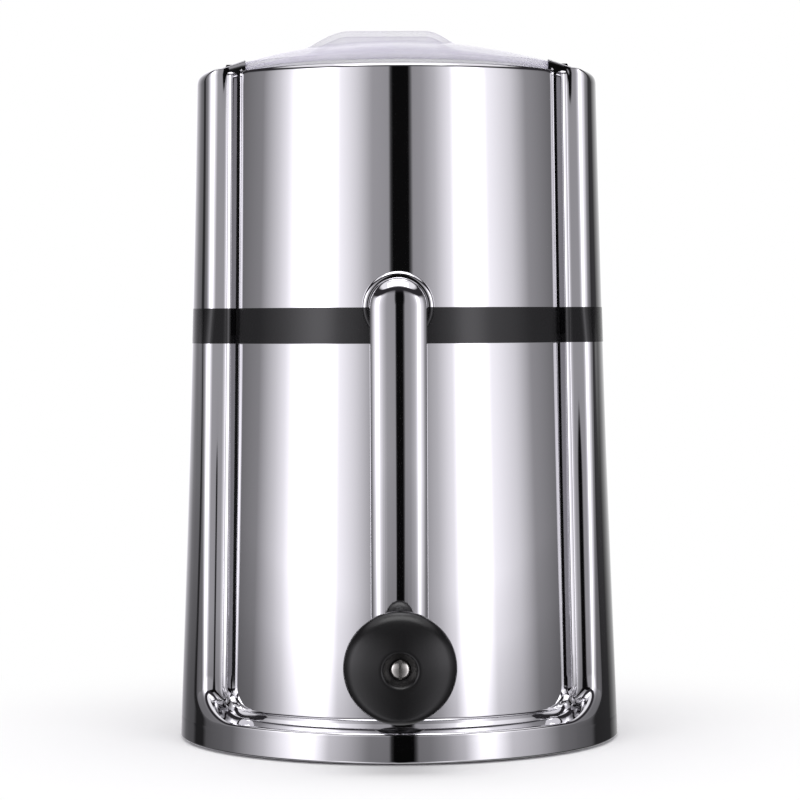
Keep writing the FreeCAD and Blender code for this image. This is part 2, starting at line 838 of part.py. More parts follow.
def grip_block(shrink, low, top):
    """The lid's raised grip: a gentle ramp on one side and a steeper one on the other."""
    def wire(span, half_y, corner, z):
        outline = rounded_wire((span[1] - span[0]) / 2 - shrink, half_y - shrink, corner - shrink / 2, z)
        outline.translate(V((span[0] + span[1]) / 2, 0, 0))
        return outline

    drop = (grip_high_x[0] - grip_low_x[0]) / (grip_top - (lid_apex - 1.5)) * (lid_apex - 1.5 - low)
    foot = (grip_low_x[0] - drop * 0.2, grip_low_x[1] + drop * 0.2)
    return Part.makeLoft([wire(foot, grip_low_half_y, grip_low_corner, low),
                          wire(grip_high_x, grip_high_half_y, grip_high_corner, top)], True, True)


def dome(shrink):
    """The lid's shallow dome as a solid of tapers, drawn in by a shrink."""
    rim, edge, apex = lid_radius - shrink, shelf_height + lid_edge - shrink, lid_apex - shrink
    low = shelf_height if not shrink else shelf_height - 1
    steps = [k / dome_steps for k in range(dome_steps + 1)]
    outline = [(rim * step, 0, apex - (apex - edge) * step ** 2) for step in steps]
    return Part.Face(polygon(outline + [(rim, 0, low), (0, 0, low)])).revolve(V(0, 0, 0), V(0, 0, 1), 360)


def lid():
    """Clear domed lid with a hollow grip, located by a short plug in the mouth."""
    outer = dome(0).fuse(grip_block(0, shelf_height + lid_edge, grip_top))
    hollow = dome(lid_wall).fuse(grip_block(lid_wall, shelf_height, grip_top - lid_wall))
    plug_radius = mouth_radius - plug_clearance
    ring_low = shelf_height - shell_wall + plug_gap
    seat = cylinder_z(lid_radius, shelf_height, shelf_height + seat_rise).cut(
        cylinder_z(plug_radius - plug_wall, shelf_height, shelf_height + seat_rise))
    plug = cylinder_z(plug_radius, ring_low, shelf_height + seat_rise).cut(
        cylinder_z(plug_radius - plug_wall, ring_low, shelf_height + seat_rise))
    return outer.cut(hollow).fuse(seat).fuse(plug).removeSplitter()


def cup_block(shrink, low, high):
    """The cup's plan: a round with two flats, bevelled at the floor and tapering a little."""
    radius = cup_radius - shrink
    foot = radius - cup_draft
    side = [(foot - cup_corner, cup_offset, low), (foot, cup_offset, low + cup_corner),
            (radius, cup_offset, high), (0, cup_offset, high), (0, cup_offset, low)]
    block = Part.Face(polygon(side)).revolve(V(0, cup_offset, 0), V(0, 0, 1), 360)
    flat = cup_flat - shrink
    reach = 2 * foot_radius
    base = flat - cup_draft
    wedge = polygon([(cup_corner - base, -reach, low), (base - cup_corner, -reach, low),
                     (base, -reach, low + cup_corner), (flat, -reach, high), (-flat, -reach, high),
                     (-base, -reach, low + cup_corner)])
    return block.common(Part.Face(wedge).extrude(V(0, 2 * reach, 0)))


def ice_cup():
    """Clear cup that catches the crushed ice."""
    outer = cup_block(0, cup_low, cup_high)
    cup = outer.cut(cup_block(cup_wall, cup_low + cup_wall, cup_high))
    for x, z in front_screw_places():
        cup = cup.cut(cylinder_y(front_screw_radius + screw_hole_gap, 0, 2 * cup_radius, x, z))
    return cup


def front_screw_places():
    return [(x, z) for x in (-front_screw_x, front_screw_x) for z in front_screw_heights]


def container_front():
    """Plated front of the drawer, carried on the cup by four bosses."""
    low = ledge_height + opening_rise
    field = turned(panel_inset, low, band_low).cut(turned(panel_inset + shell_wall, low - 1, band_low + 1))
    front = field.common(drawer_opening(front_gap))
    notch = cylinder_y(notch_radius, 0, 2 * foot_radius, 0, band_low - front_gap)
    front = front.cut(notch)
    cup = cup_block(0, cup_low, cup_high)
    inner = turned(panel_inset + shell_wall / 2, low, band_low)
    for x, z in front_screw_places():
        boss = cylinder_y(front_boss_radius, cup_radius / 2, 2 * foot_radius, x, z).common(inner).cut(cup)
        pilot_high = front_screw_end(x, z) + front_screw_rest
        front = front.fuse(boss).cut(cylinder_y(front_screw_radius + pilot_clearance, 0, pilot_high, x, z))
    return front


def cup_wall_at(x, z):
    """How far out the cup's rear wall stands at a place."""
    radius = cup_radius - cup_draft * (cup_high - z) / (cup_high - cup_low)
    return cup_offset + math.sqrt(radius ** 2 - x ** 2)


def front_screw_end(x, z):
    skin = body_radius(z) - panel_inset
    return math.sqrt(skin ** 2 - x ** 2) - shell_wall * front_screw_share


def container_screws():
    """Four screws from inside the cup into the drawer's front."""
    solids = []
    for x, z in front_screw_places():
        seat = cup_wall_at(abs(x) + front_head_radius, z) - cup_wall * 1.5
        places = [V(x, y, z) for y in (seat - front_head, seat, front_screw_end(x, z))]
        shank = bar_along(front_screw_radius, places[1], places[2])
        solids.append(shank.fuse(bar_along(front_head_radius, places[0], places[1])))
    return solids


def export(name, shape):
    """Write one node, as a single solid or as a group of separate ones."""
    whole = shape if not isinstance(shape, list) else Part.makeCompound(shape)
    if not isinstance(shape, list) and len(whole.Solids) == 1:
        whole = whole.Solids[0]
    print(name, "solids", len(whole.Solids), "valid", whole.isValid(), "volume", round(whole.Volume, 1))
    whole.exportStep("parts/%s.step" % name)


def main():
    os.makedirs("parts", exist_ok=True)
    single = (upper_shell, middle_band, lower_shell, base_plate, foot_ring, hopper, crusher_frame,
              base_screws, tie_screws, frame_screws, comb_screws, rotor_shaft, shaft_washer, shaft_clip,
              crank_arm, hub_pin, knob_washer, knob, knob_screw, lid, ice_cup, container_front,
              container_screws)
    for maker in single:
        export(maker.__name__, maker())
    export("front_bushing", bushing(-1))
    export("rear_bushing", bushing(1))
    export("left_comb", comb(-1))
    export("right_comb", comb(1))
    for k in range(blade_count):
        export("rotor_blade_%d" % (k + 1), rotor_blade(k))
    for k in range(blade_count + 1):
        export("rotor_sleeve_%d" % (k + 1), rotor_sleeve(k))


main()
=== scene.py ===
import math

import bmesh
import bpy
from mathutils import Matrix, Vector


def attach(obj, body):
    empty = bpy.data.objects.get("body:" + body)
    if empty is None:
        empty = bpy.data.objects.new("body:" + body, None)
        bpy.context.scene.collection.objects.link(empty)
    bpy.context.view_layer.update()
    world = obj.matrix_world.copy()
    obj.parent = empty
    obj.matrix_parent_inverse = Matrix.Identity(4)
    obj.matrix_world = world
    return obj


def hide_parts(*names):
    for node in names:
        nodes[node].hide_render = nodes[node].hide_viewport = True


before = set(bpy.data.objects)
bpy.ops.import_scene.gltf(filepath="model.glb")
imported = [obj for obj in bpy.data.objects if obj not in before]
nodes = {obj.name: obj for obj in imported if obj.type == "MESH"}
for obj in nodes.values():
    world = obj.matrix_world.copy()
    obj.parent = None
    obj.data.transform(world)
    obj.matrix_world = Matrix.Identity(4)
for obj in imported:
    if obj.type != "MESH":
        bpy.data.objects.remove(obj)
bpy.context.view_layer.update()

# The table, the camera and the studio
# A pale table, a long lens from the crank side at mid height of the body, and a studio of tall soft
# panels: one on each side, with a narrow dark gap between them in front, and a bright wall behind.
MM = 0.001
camera_data = bpy.data.cameras.new("camera")
camera_data.lens = 132.96
camera_data.sensor_width = 36.0
camera = bpy.data.objects.new("camera", camera_data)
bpy.context.scene.collection.objects.link(camera)
camera_yaw, camera_pitch, camera_roll = math.radians(0.236), math.radians(1.556), math.radians(-0.245)
camera.location = (-0.0037, -1.080, 0.1517)
forward = Vector((math.sin(camera_yaw) * math.cos(camera_pitch),
                  math.cos(camera_yaw) * math.cos(camera_pitch), -math.sin(camera_pitch)))
right = Vector((math.cos(camera_yaw), -math.sin(camera_yaw), 0.0))
upward = right.cross(forward)
side = right * math.cos(camera_roll) + upward * math.sin(camera_roll)
top = -right * math.sin(camera_roll) + upward * math.cos(camera_roll)
camera.rotation_mode = "QUATERNION"
camera.rotation_quaternion = Matrix((side, top, -forward)).transposed().to_quaternion()
bpy.context.scene.camera = camera
bpy.context.scene.view_settings.view_transform = "Standard"


class Tree:
    """Adds nodes to a node tree by type, with their values and links in one call."""

    def __init__(self, tree):
        self.tree = tree

    def link(self, output, entry):
        self.tree.links.new(output, entry)

    def node(self, kind, values=None, **settings):
        made = self.tree.nodes.new(kind)
        for name, value in settings.items():
            setattr(made, name, value)
        for key, value in (values or {}).items():
            if isinstance(value, bpy.types.NodeSocket):
                self.link(value, made.inputs[key])
            else:
                made.inputs[key].default_value = value
        return made

    def math(self, operation, *values):
        return self.node("ShaderNodeMath", dict(enumerate(values)), operation=operation).outputs[0]

    def ramp(self, fac, stops, interpolation="LINEAR"):
        made = self.node("ShaderNodeValToRGB", {"Fac": fac})
        made.color_ramp.interpolation = interpolation
        elements = made.color_ramp.elements
        while len(elements) < len(stops):
            elements.new(0.5)
        for element, (place, colour) in zip(elements, stops):
            element.position = place
        for element, (place, colour) in zip(elements, stops):
            element.color = colour if len(colour) == 4 else (*colour, 1.0)
        return made.outputs["Color"]


world = bpy.data.worlds.new("studio")
bpy.context.scene.world = world
world.use_nodes = True
world.node_tree.nodes.clear()
tree = Tree(world.node_tree)
direction = tree.node("ShaderNodeTexCoord").outputs["Generated"]
x, y, z = tree.node("ShaderNodeSeparateXYZ", {0: direction}).outputs
compass = tree.math("ARCTAN2", x, tree.math("MULTIPLY", y, -1.0))
turn = tree.math("MULTIPLY_ADD", compass, 0.5 / math.pi, 0.5)
rise = tree.math("MULTIPLY_ADD", tree.math("ARCSINE", z), 1 / math.pi, 0.5)
# Angles round from the crank side in degrees, with the brightness there. The first ramp has 32 stops, the
# most that a ramp holds, so past BEHIND_FROM a second one takes over.
BEHIND_FROM = 146
PANELS = ((-180, 1.15), (-172, 1.15), (-164, 0.62), (-152, 0.22), (-146, 0.17), (-138, 0.15), (-134, 0.03),
          (-125, 0.03), (-121, 0.16), (-97, 0.27), (-82, 0.72), (-75, 1.0), (-54, 2.5), (-46, 2.5),
          (-37, 1.15), (-26, 0.78), (-16, 0.38), (-5.5, 0.34), (-4, 0.004), (8, 0.004), (9.5, 0.32),
          (16, 0.36), (24, 0.56), (34, 1.02), (42, 2.3), (50, 2.3), (60, 1.15), (78, 0.76), (92, 0.32),
          (120, 0.16), (124, 0.04), (BEHIND_FROM, 0.05))
BEHIND = ((0, 0.0), (BEHIND_FROM, 0.05), (152, 0.20), (157, 0.36), (164, 0.62), (172, 1.15), (180, 1.15))
# Angles above the table in degrees: where the dark zone lies, and where the bright roof begins
DARK_ZONE = ((-90, 0.0), (-8, 0.0), (20, 0.0), (27, 1.0), (44, 1.0), (52, 0.0), (90, 0.0))
ROOF = ((0, 0.0), (44, 0.0), (52, 1.0), (90, 1.0))
PANEL_TINT, PLAIN = (0.985, 0.965, 1.02), (1.0, 1.0, 1.0)


def levels_by_angle(fac, levels, whole, tint=PLAIN):
    """A ramp from pairs of an angle and the level there, over a whole turn or half of one."""
    return tree.ramp(fac, [(0.5 + angle / whole, tuple(level * part for part in tint))
                           for angle, level in levels])


def blended(fac, low, high):
    mixed = tree.node("ShaderNodeMix", {"Factor": fac, "A": low, "B": high}, data_type="RGBA")
    return mixed.outputs["Result"]


past = tree.math("GREATER_THAN", turn, 0.5 + BEHIND_FROM / 360.0)
sides = blended(past, levels_by_angle(turn, PANELS, 360.0, PANEL_TINT), levels_by_angle(turn, BEHIND, 360.0))
sides = blended(levels_by_angle(rise, DARK_ZONE, 180.0), sides, (0.03, 0.028, 0.032, 1.0))
sides = blended(levels_by_angle(rise, ROOF, 180.0), sides, (1.0, 0.985, 1.02, 1.0))
lit = tree.node("ShaderNodeBackground", {"Color": sides, "Strength": 1.0})
soft = tree.node("ShaderNodeBackground", {"Color": (1.0, 0.99, 1.0, 1.0), "Strength": 0.9})
white = tree.node("ShaderNodeBackground", {"Color": (1.0, 1.0, 1.0, 1.0), "Strength": 1.0})
path = tree.node("ShaderNodeLightPath")
diffuse_or_not = tree.node("ShaderNodeMixShader", {0: path.outputs["Is Diffuse Ray"], 1: lit.outputs[0],
                                                   2: soft.outputs[0]})
seen = tree.math("MAXIMUM", path.outputs["Is Camera Ray"], path.outputs["Is Transmission Ray"])
final = tree.node("ShaderNodeMixShader", {0: seen, 1: diffuse_or_not.outputs[0], 2: white.outputs[0]})
tree.node("ShaderNodeOutputWorld", {0: final.outputs[0]})


def new_material(name):
    material = bpy.data.materials.new(name)
    material.use_nodes = True
    material.node_tree.nodes.clear()
    return material, Tree(material.node_tree)


table_material, tree = new_material("pale table")
place = tree.node("ShaderNodeTexCoord").outputs["Object"]
flat = tree.node("ShaderNodeVectorMath", {0: place, 1: (1.0, 1.0, 0.0)}, operation="MULTIPLY").outputs[0]
distance = tree.node("ShaderNodeVectorMath", {0: flat}, operation="LENGTH").outputs["Value"]
# What a mirrored surface sees through the table, dimmed by distance as a share of the reach in metres: a
# painted shadow, darkest round the body's foot and fading out further away
PAINTED_SHADE_REACH = 2.5
PAINTED_SHADE_LEVELS = ((0.04, 0.56), (0.12, 0.62), (0.20, 0.70), (0.40, 0.86), (1.0, 1.0))
painted_table_shade = tree.ramp(tree.math("MULTIPLY", distance, 1 / PAINTED_SHADE_REACH), [(share, (v, v, v)) for share, v in PAINTED_SHADE_LEVELS])
# Glossy rays pass through the table dimmed by its painted shadow; the other rays see the pale paper
shaded_for_mirrors = tree.node("ShaderNodeBsdfTransparent", {"Color": painted_table_shade})
paper = tree.node("ShaderNodeBsdfDiffuse", {"Color": (0.93, 0.93, 0.935, 1.0)})
bright = tree.node("ShaderNodeEmission", {"Color": (1.0, 1.0, 1.0, 1.0), "Strength": 1.0})
fade = tree.ramp(distance, [(0.085, (0, 0, 0)), (0.24, (1, 1, 1))], "EASE")
seen_paper = tree.node("ShaderNodeMixShader", {0: fade, 1: paper.outputs[0], 2: bright.outputs[0]})
path = tree.node("ShaderNodeLightPath")
surface = tree.node("ShaderNodeMixShader", {0: path.outputs["Is Glossy Ray"], 1: seen_paper.outputs[0],
                                            2: shaded_for_mirrors.outputs[0]})
tree.node("ShaderNodeOutputMaterial", {0: surface.outputs[0]})
table_mesh = bpy.data.meshes.new("table")
reach = 6.0
corners = [(-reach, -reach, 0), (reach, -reach, 0), (reach, reach, 0), (-reach, reach, 0)]
table_mesh.from_pydata(corners, [], [(0, 1, 2, 3)])
table_mesh.materials.append(table_material)
table = bpy.data.objects.new("table", table_mesh)
bpy.context.scene.collection.objects.link(table)
lamp_data = bpy.data.lights.new("overhead panel", "AREA")
lamp_data.shape = "RECTANGLE"
lamp_data.size, lamp_data.size_y = 1.2, 0.8
lamp_data.energy = 6.0
lamp = bpy.data.objects.new("overhead panel", lamp_data)
lamp.location = (0.0, -0.5, 1.4)
lamp.rotation_euler = (math.radians(20), 0, 0)
bpy.context.scene.collection.objects.link(lamp)

# Foot ring
# A soft rubber ring that the crusher stands on. It is moulded in one piece and pressed into a groove
# under the floor plate.


def grain_group():
    """Nodes that the moulded finishes share: fine grain as height, and a slow drift in sheen and shade."""
    group = bpy.data.node_groups.new("Moulded Grain", "ShaderNodeTree")
    number, colour, vector = "NodeSocketFloat", "NodeSocketColor", "NodeSocketVector"
    for way, sockets in (("INPUT", (("Vector", vector), ("Colour", colour), ("Grain per metre", number),
                                    ("Cloud per metre", number), ("Roughness", number), ("Spread", number))),
                         ("OUTPUT", (("Colour", colour), ("Roughness", number), ("Height", number)))):
        for name, kind in sockets:
            group.interface.new_socket(name, in_out=way, socket_type=kind)
    tree = Tree(group)
    given = group.nodes.new("NodeGroupInput").outputs
    out = group.nodes.new("NodeGroupOutput").inputs
    fine = tree.node("ShaderNodeTexNoise", {"Vector": given["Vector"], "Scale": given["Grain per metre"],
                                            "Detail": 3.0, "Roughness": 0.6})
    broad = tree.node("ShaderNodeTexNoise", {"Vector": given["Vector"], "Scale": given["Cloud per metre"],
                                             "Detail": 2.0})
    drift = tree.math("SUBTRACT", broad.outputs["Fac"], 0.5)
    shade = tree.math("MULTIPLY_ADD", drift, 0.25, 1.0)
    tinted = tree.node("ShaderNodeVectorMath", {0: given["Colour"], 3: shade}, operation="SCALE")
    rough = tree.math("ADD", given["Roughness"], tree.math("MULTIPLY", drift, given["Spread"]))
    tree.link(fine.outputs["Fac"], out["Height"])
    tree.link(rough, out["Roughness"])
    tree.link(tinted.outputs[0], out["Colour"])
    return group


moulded_grain = grain_group()


def moulded(name, colour, roughness, spread, bump, grain):
    """A moulded plastic or rubber, with its grain in steps per metre."""
    material, tree = new_material(name)
    place = tree.node("ShaderNodeTexCoord").outputs["Object"]
    skin = tree.node("ShaderNodeGroup", {"Vector": place, "Colour": (*colour, 1.0), "Grain per metre": grain,
                                         "Cloud per metre": 60.0, "Roughness": roughness, "Spread": spread},
                     node_tree=moulded_grain)
    relief = tree.node("ShaderNodeBump", {"Height": skin.outputs["Height"], "Strength": bump,
                                          "Distance": 0.0002})
    shader = tree.node("ShaderNodeBsdfPrincipled", {"Base Color": skin.outputs["Colour"],
                                                    "Roughness": skin.outputs["Roughness"],
                                                    "Normal": relief.outputs[0]})
    tree.node("ShaderNodeOutputMaterial", {0: shader.outputs[0]})
    return material


def finish_node(node, material):
    """Gives a carried-over piece its finish."""
    mesh = nodes[node].data
    mesh.materials.clear()
    mesh.materials.append(material)


finish_node("foot_ring", moulded("foot rubber", (0.028, 0.028, 0.029), 0.78, 0.12, 0.5, 1800.0))

# Floor plate and its screws
# A black moulded floor plate that carries the drawer's two rails. Four pan head screws of zinc plated
# steel, with cross slots, hold it up into the lower shell.
black_moulded = moulded("black moulded plastic", (0.012, 0.012, 0.0125), 0.42, 0.12, 0.35, 2400.0)
finish_node("base_plate", black_moulded)


def lathe(profile, centre, axis, segments, sweep=(0.0, 360.0)):
    """Vertices and faces of a profile of (radius, along) pairs turned about an axis, ends left as drawn."""
    verts, faces = [], []
    start, stop = sweep
    closed = abs(stop - start - 360.0) < 1e-6
    columns = segments if closed else segments + 1
    for k in range(columns):
        angle = math.radians(start + (stop - start) * k / segments)
        c, s = math.cos(angle), math.sin(angle)
        for radius, along in profile:
            if axis == "Z":
                verts.append((centre[0] + radius * c, centre[1] + radius * s, centre[2] + along))
            else:
                verts.append((centre[0] + radius * c, centre[1] + along, centre[2] + radius * s))
    count = len(profile)
    for k in range(columns if closed else segments):
        a, b = k * count, ((k + 1) % columns) * count
        for j in range(count - 1):
            face = (a + j, b + j, b + j + 1, a + j + 1)
            faces.append(face if axis == "Z" else face[::-1])
    return verts, faces


def built(name, verts, faces, material, sharp=None, smooth=True):
    """A piece from millimetre vertices, welded and shaded."""
    mesh = bpy.data.meshes.new(name)
    mesh.from_pydata([tuple(c * MM for c in v) for v in verts], [], faces)
    bm = bmesh.new()
    bm.from_mesh(mesh)
    bmesh.ops.remove_doubles(bm, verts=bm.verts, dist=2e-6)
    bmesh.ops.dissolve_degenerate(bm, edges=bm.edges, dist=1e-7)
    bmesh.ops.recalc_face_normals(bm, faces=bm.faces)
    bm.to_mesh(mesh)
    bm.free()
    if smooth:
        mesh.shade_smooth()
    if sharp:
        mesh.set_sharp_from_angle(angle=math.radians(sharp))
    mesh.materials.append(material)
    piece = bpy.data.objects.new(name, mesh)
    bpy.context.scene.collection.objects.link(piece)
    return piece


def applied(piece):
    """Turns what the modifiers show into the piece's own mesh."""
    shown = piece.evaluated_get(bpy.context.evaluated_depsgraph_get())
    mesh = bpy.data.meshes.new_from_object(shown)
    piece.modifiers.clear()
    piece.data = mesh


def block(name, low, high, material):
    """A plain box between two corners, for cutting with."""
    corners = [(x, y, z) for z in (low[2], high[2])
               for x, y in ((low[0], low[1]), (high[0], low[1]), (high[0], high[1]), (low[0], high[1]))]
    sides = [(3, 2, 1, 0), (4, 5, 6, 7), (0, 1, 5, 4), (1, 2, 6, 5), (2, 3, 7, 6), (3, 0, 4, 7)]
    return built(name, corners, sides, material, smooth=False)


def cut_out(piece, *cutters):
    """Takes the cutters' forms out of a piece and removes the cutters."""
    for cutter in cutters:
        cut = piece.modifiers.new("cut", "BOOLEAN")
        cut.operation, cut.solver, cut.object = "DIFFERENCE", "EXACT", cutter
    applied(piece)
    for cutter in cutters:
        bpy.data.objects.remove(cutter)


def metal(name, colour, roughness, streak, scale, bump):
    """A bare metal with fine working marks in its roughness and bump."""
    material, tree = new_material(name)
    place = tree.node("ShaderNodeTexCoord").outputs["Object"]
    stretched = tree.node("ShaderNodeMapping", {"Vector": place, "Scale": scale}).outputs[0]
    marks = tree.node("ShaderNodeTexNoise", {"Vector": stretched, "Scale": 1.0, "Detail": 4.0,
                                             "Roughness": 0.65}).outputs["Fac"]
    rough = tree.math("MULTIPLY_ADD", tree.math("SUBTRACT", marks, 0.5), streak * 2, roughness)
    relief = tree.node("ShaderNodeBump", {"Height": marks, "Strength": bump, "Distance": 0.0002})
    shader = tree.node("ShaderNodeBsdfPrincipled", {"Base Color": (*colour, 1.0), "Metallic": 1.0,
                                                    "Roughness": rough, "Normal": relief.outputs[0]})
    tree.node("ShaderNodeOutputMaterial", {0: shader.outputs[0]})
    return material


zinc = metal("zinc plated steel", (0.62, 0.62, 0.64), 0.28, 0.08, (900.0, 900.0, 900.0), 0.08)


def cross_screw(name, head, rise, shank, length):
    """One pan head screw pointing down, its head's underside at zero, with a cross cut in its top."""
    steps = 5
    turns = [math.radians(90 * k / steps) for k in range(steps)]
    dome = [(head * math.cos(t), rise * (0.35 + 0.65 * math.sin(t))) for t in turns] + [(0.0, rise)]
    stem = [(0.0, -length), (shank * 0.75, -length), (shank, -length + shank * 0.6), (shank, 0.0),
            (head, 0.0)]
    form = built(name, *lathe(stem + dome, (0, 0, 0), "Z", 32), zinc)
    arms = []
    for half_x, half_y in ((head * 0.55, head * 0.12), (head * 0.12, head * 0.55)):
        arms.append(block("cross arm", (-half_x, -half_y, rise * 0.45), (half_x, half_y, rise * 1.6), zinc))
    cut_out(form, *arms)
    return form


def screw_set_tree():
    """Repeats one screw at the corners of a rectangle, turned and moved to its face."""
    group = bpy.data.node_groups.new("Screw Set", "GeometryNodeTree")
    for name, kind in (("Screw", "NodeSocketGeometry"), ("Across", "NodeSocketFloat"),
                       ("Along", "NodeSocketFloat"), ("Centre", "NodeSocketVector"),
                       ("Turn", "NodeSocketVector"), ("Finish", "NodeSocketMaterial")):
        group.interface.new_socket(name, in_out="INPUT", socket_type=kind)
    group.interface.new_socket("Screws", in_out="OUTPUT", socket_type="NodeSocketGeometry")
    tree = Tree(group)
    given, out = group.nodes.new("NodeGroupInput").outputs, group.nodes.new("NodeGroupOutput")
    grid = tree.node("GeometryNodeMeshGrid", {"Size X": given["Across"], "Size Y": given["Along"],
                                              "Vertices X": 2, "Vertices Y": 2})
    spin = tree.node("FunctionNodeRandomValue", {"Seed": 3}, data_type="FLOAT")
    spin.inputs[3].default_value = math.pi
    turn = tree.node("ShaderNodeCombineXYZ", {"Z": spin.outputs[1]})
    repeated = tree.node("GeometryNodeInstanceOnPoints", {"Points": grid.outputs["Mesh"],
                                                          "Instance": given["Screw"],
                                                          "Rotation": turn.outputs[0]})
    solid = tree.node("GeometryNodeRealizeInstances", {0: repeated.outputs[0]})
    placed = tree.node("GeometryNodeTransform", {"Geometry": solid.outputs[0], "Translation": given["Centre"],
                                                 "Rotation": given["Turn"]})
    coloured = tree.node("GeometryNodeSetMaterial", {"Geometry": placed.outputs[0],
                                                     "Material": given["Finish"]})
    tree.link(coloured.outputs[0], out.inputs[0])
    return group


screw_set = screw_set_tree()


def set_inputs(modifier, values):
    """Sets a modifier's inputs by name, through the identifiers of their sockets."""
    for item in modifier.node_group.interface.items_tree:
        if item.item_type == "SOCKET" and item.in_out == "INPUT" and item.name in values:
            modifier[item.identifier] = values[item.name]


def screws(name, sizes, across, along, centre, turn, body, replaced):
    """A set of screws at the corners of a rectangle, in place of the plain ones."""
    piece = cross_screw(name, *sizes)
    repeat = piece.modifiers.new("set", "NODES")
    repeat.node_group = screw_set
    set_inputs(repeat, {"Across": across * MM, "Along": along * MM, "Centre": [c * MM for c in centre],
                        "Turn": [math.radians(t) for t in turn], "Finish": zinc})
    applied(piece)
    piece.data.shade_smooth()
    piece.data.set_sharp_from_angle(angle=math.radians(35))
    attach(piece, body)
    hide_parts(replaced)


BASE_SCREW_CIRCLE, BASE_SCREW_ANGLE = 71.5, math.radians(35)
screws("base_screw_set", (2.8, 1.55, 1.15, 6.0), 2 * BASE_SCREW_CIRCLE * math.sin(BASE_SCREW_ANGLE),
       2 * BASE_SCREW_CIRCLE * math.cos(BASE_SCREW_ANGLE), (0, 0, 3.0), (180, 0, 0), "housing", "base_screws")

# Lower shell
# Moulded plastic plated to a mirror. Two pillars stand left and right. Between them, front and back, a
# window with rounded lower corners holds a curved panel with a bead down each side, over a plinth.
FOOT_Z, LEDGE_Z, BAND_LOW, BAND_HIGH, SHELF_Z = 0.8, 11.0, 143.5, 156.0, 240.3
FOOT_RADIUS, TAPER, BOW = 79.9, 0.041346, 4.38e-5
PANEL_INSET, PANEL_EDGE = 9.0, 3.2
FOOT_EASE, FOOT_INNER = 0.9, 76.8
SHELL_WALL = 2.2
POST_X, POST_Y, POST_RADIUS = 64.7, 15.5, 5.2
# Slopes of a bead in degrees at distances from its crest: outwards, and in towards the panel
BEAD_OUT = ((0.0, 0.0), (0.05, 4.0), (0.12, 12.0), (0.22, 18.0), (0.40, 23.0), (0.65, 28.0), (0.9, 33.0),
            (1.15, 39.0), (1.4, 45.0))
BEAD_IN = ((0.0, 0.0), (0.07, 8.0), (0.15, 25.0), (0.25, 42.0), (0.4, 48.0), (1.0, 49.0), (1.6, 50.0),
           (2.05, 51.0))
BEAD_LIFT, GROOVE_DROP = -1.2, 0.05
# Points of a window's side where the channel's floor begins and where its step up to the bead begins
LAND_START, LAND_END = 15, 21
CORNER_STEPS, BOTTOM_STEPS, PILLAR_STEPS = 18, 48, 20
# Columns across a panel as shares of its half width, closer together at its edges
ACROSS = [math.sin(math.pi * (j / BOTTOM_STEPS - 0.5)) for j in range(BOTTOM_STEPS + 1)]


def body_radius(z):
    """Radius of the body at a height: a gentle curve, wider at the foot."""
    return FOOT_RADIUS - TAPER * z + BOW * z * z


def floor_depth(z):
    """How far the channels' floors stand from the middle plane."""
    return 36.3 - (z - LEDGE_Z) * 8.9 / 229.3


def bead_crest(z):
    """Distance of a bead's crest from the middle, across the body."""
    return 61.75 - 0.0178 * z + 2.0e-5 * z * z


def rounding_middle(z):
    """Distance across the body of the middle of a pillar's rounded edge."""
    if z < BAND_LOW:
        return 69.4 - 0.0135 * z
    if z > BAND_HIGH:
        return 68.28 - 0.0115 * z
    share = (z - BAND_LOW) / (BAND_HIGH - BAND_LOW)
    return 67.463 - 0.977 * share


def bead_side(slopes, spread):
    """Distance from the crest and drop below it for each point of a bead's side."""
    points, drop = [], 0.0
    for (d0, a0), (d1, a1) in zip(slopes, slopes[1:]):
        drop += (d1 - d0) * math.tan(math.radians((a0 + a1) / 2)) * (spread if d1 < 0.35 else 1.0)
        points.append((d1 * (spread if d1 < 0.35 else 1.0), drop))
    return points


def smooth_step(t):
    return t * t * (3 - 2 * t)


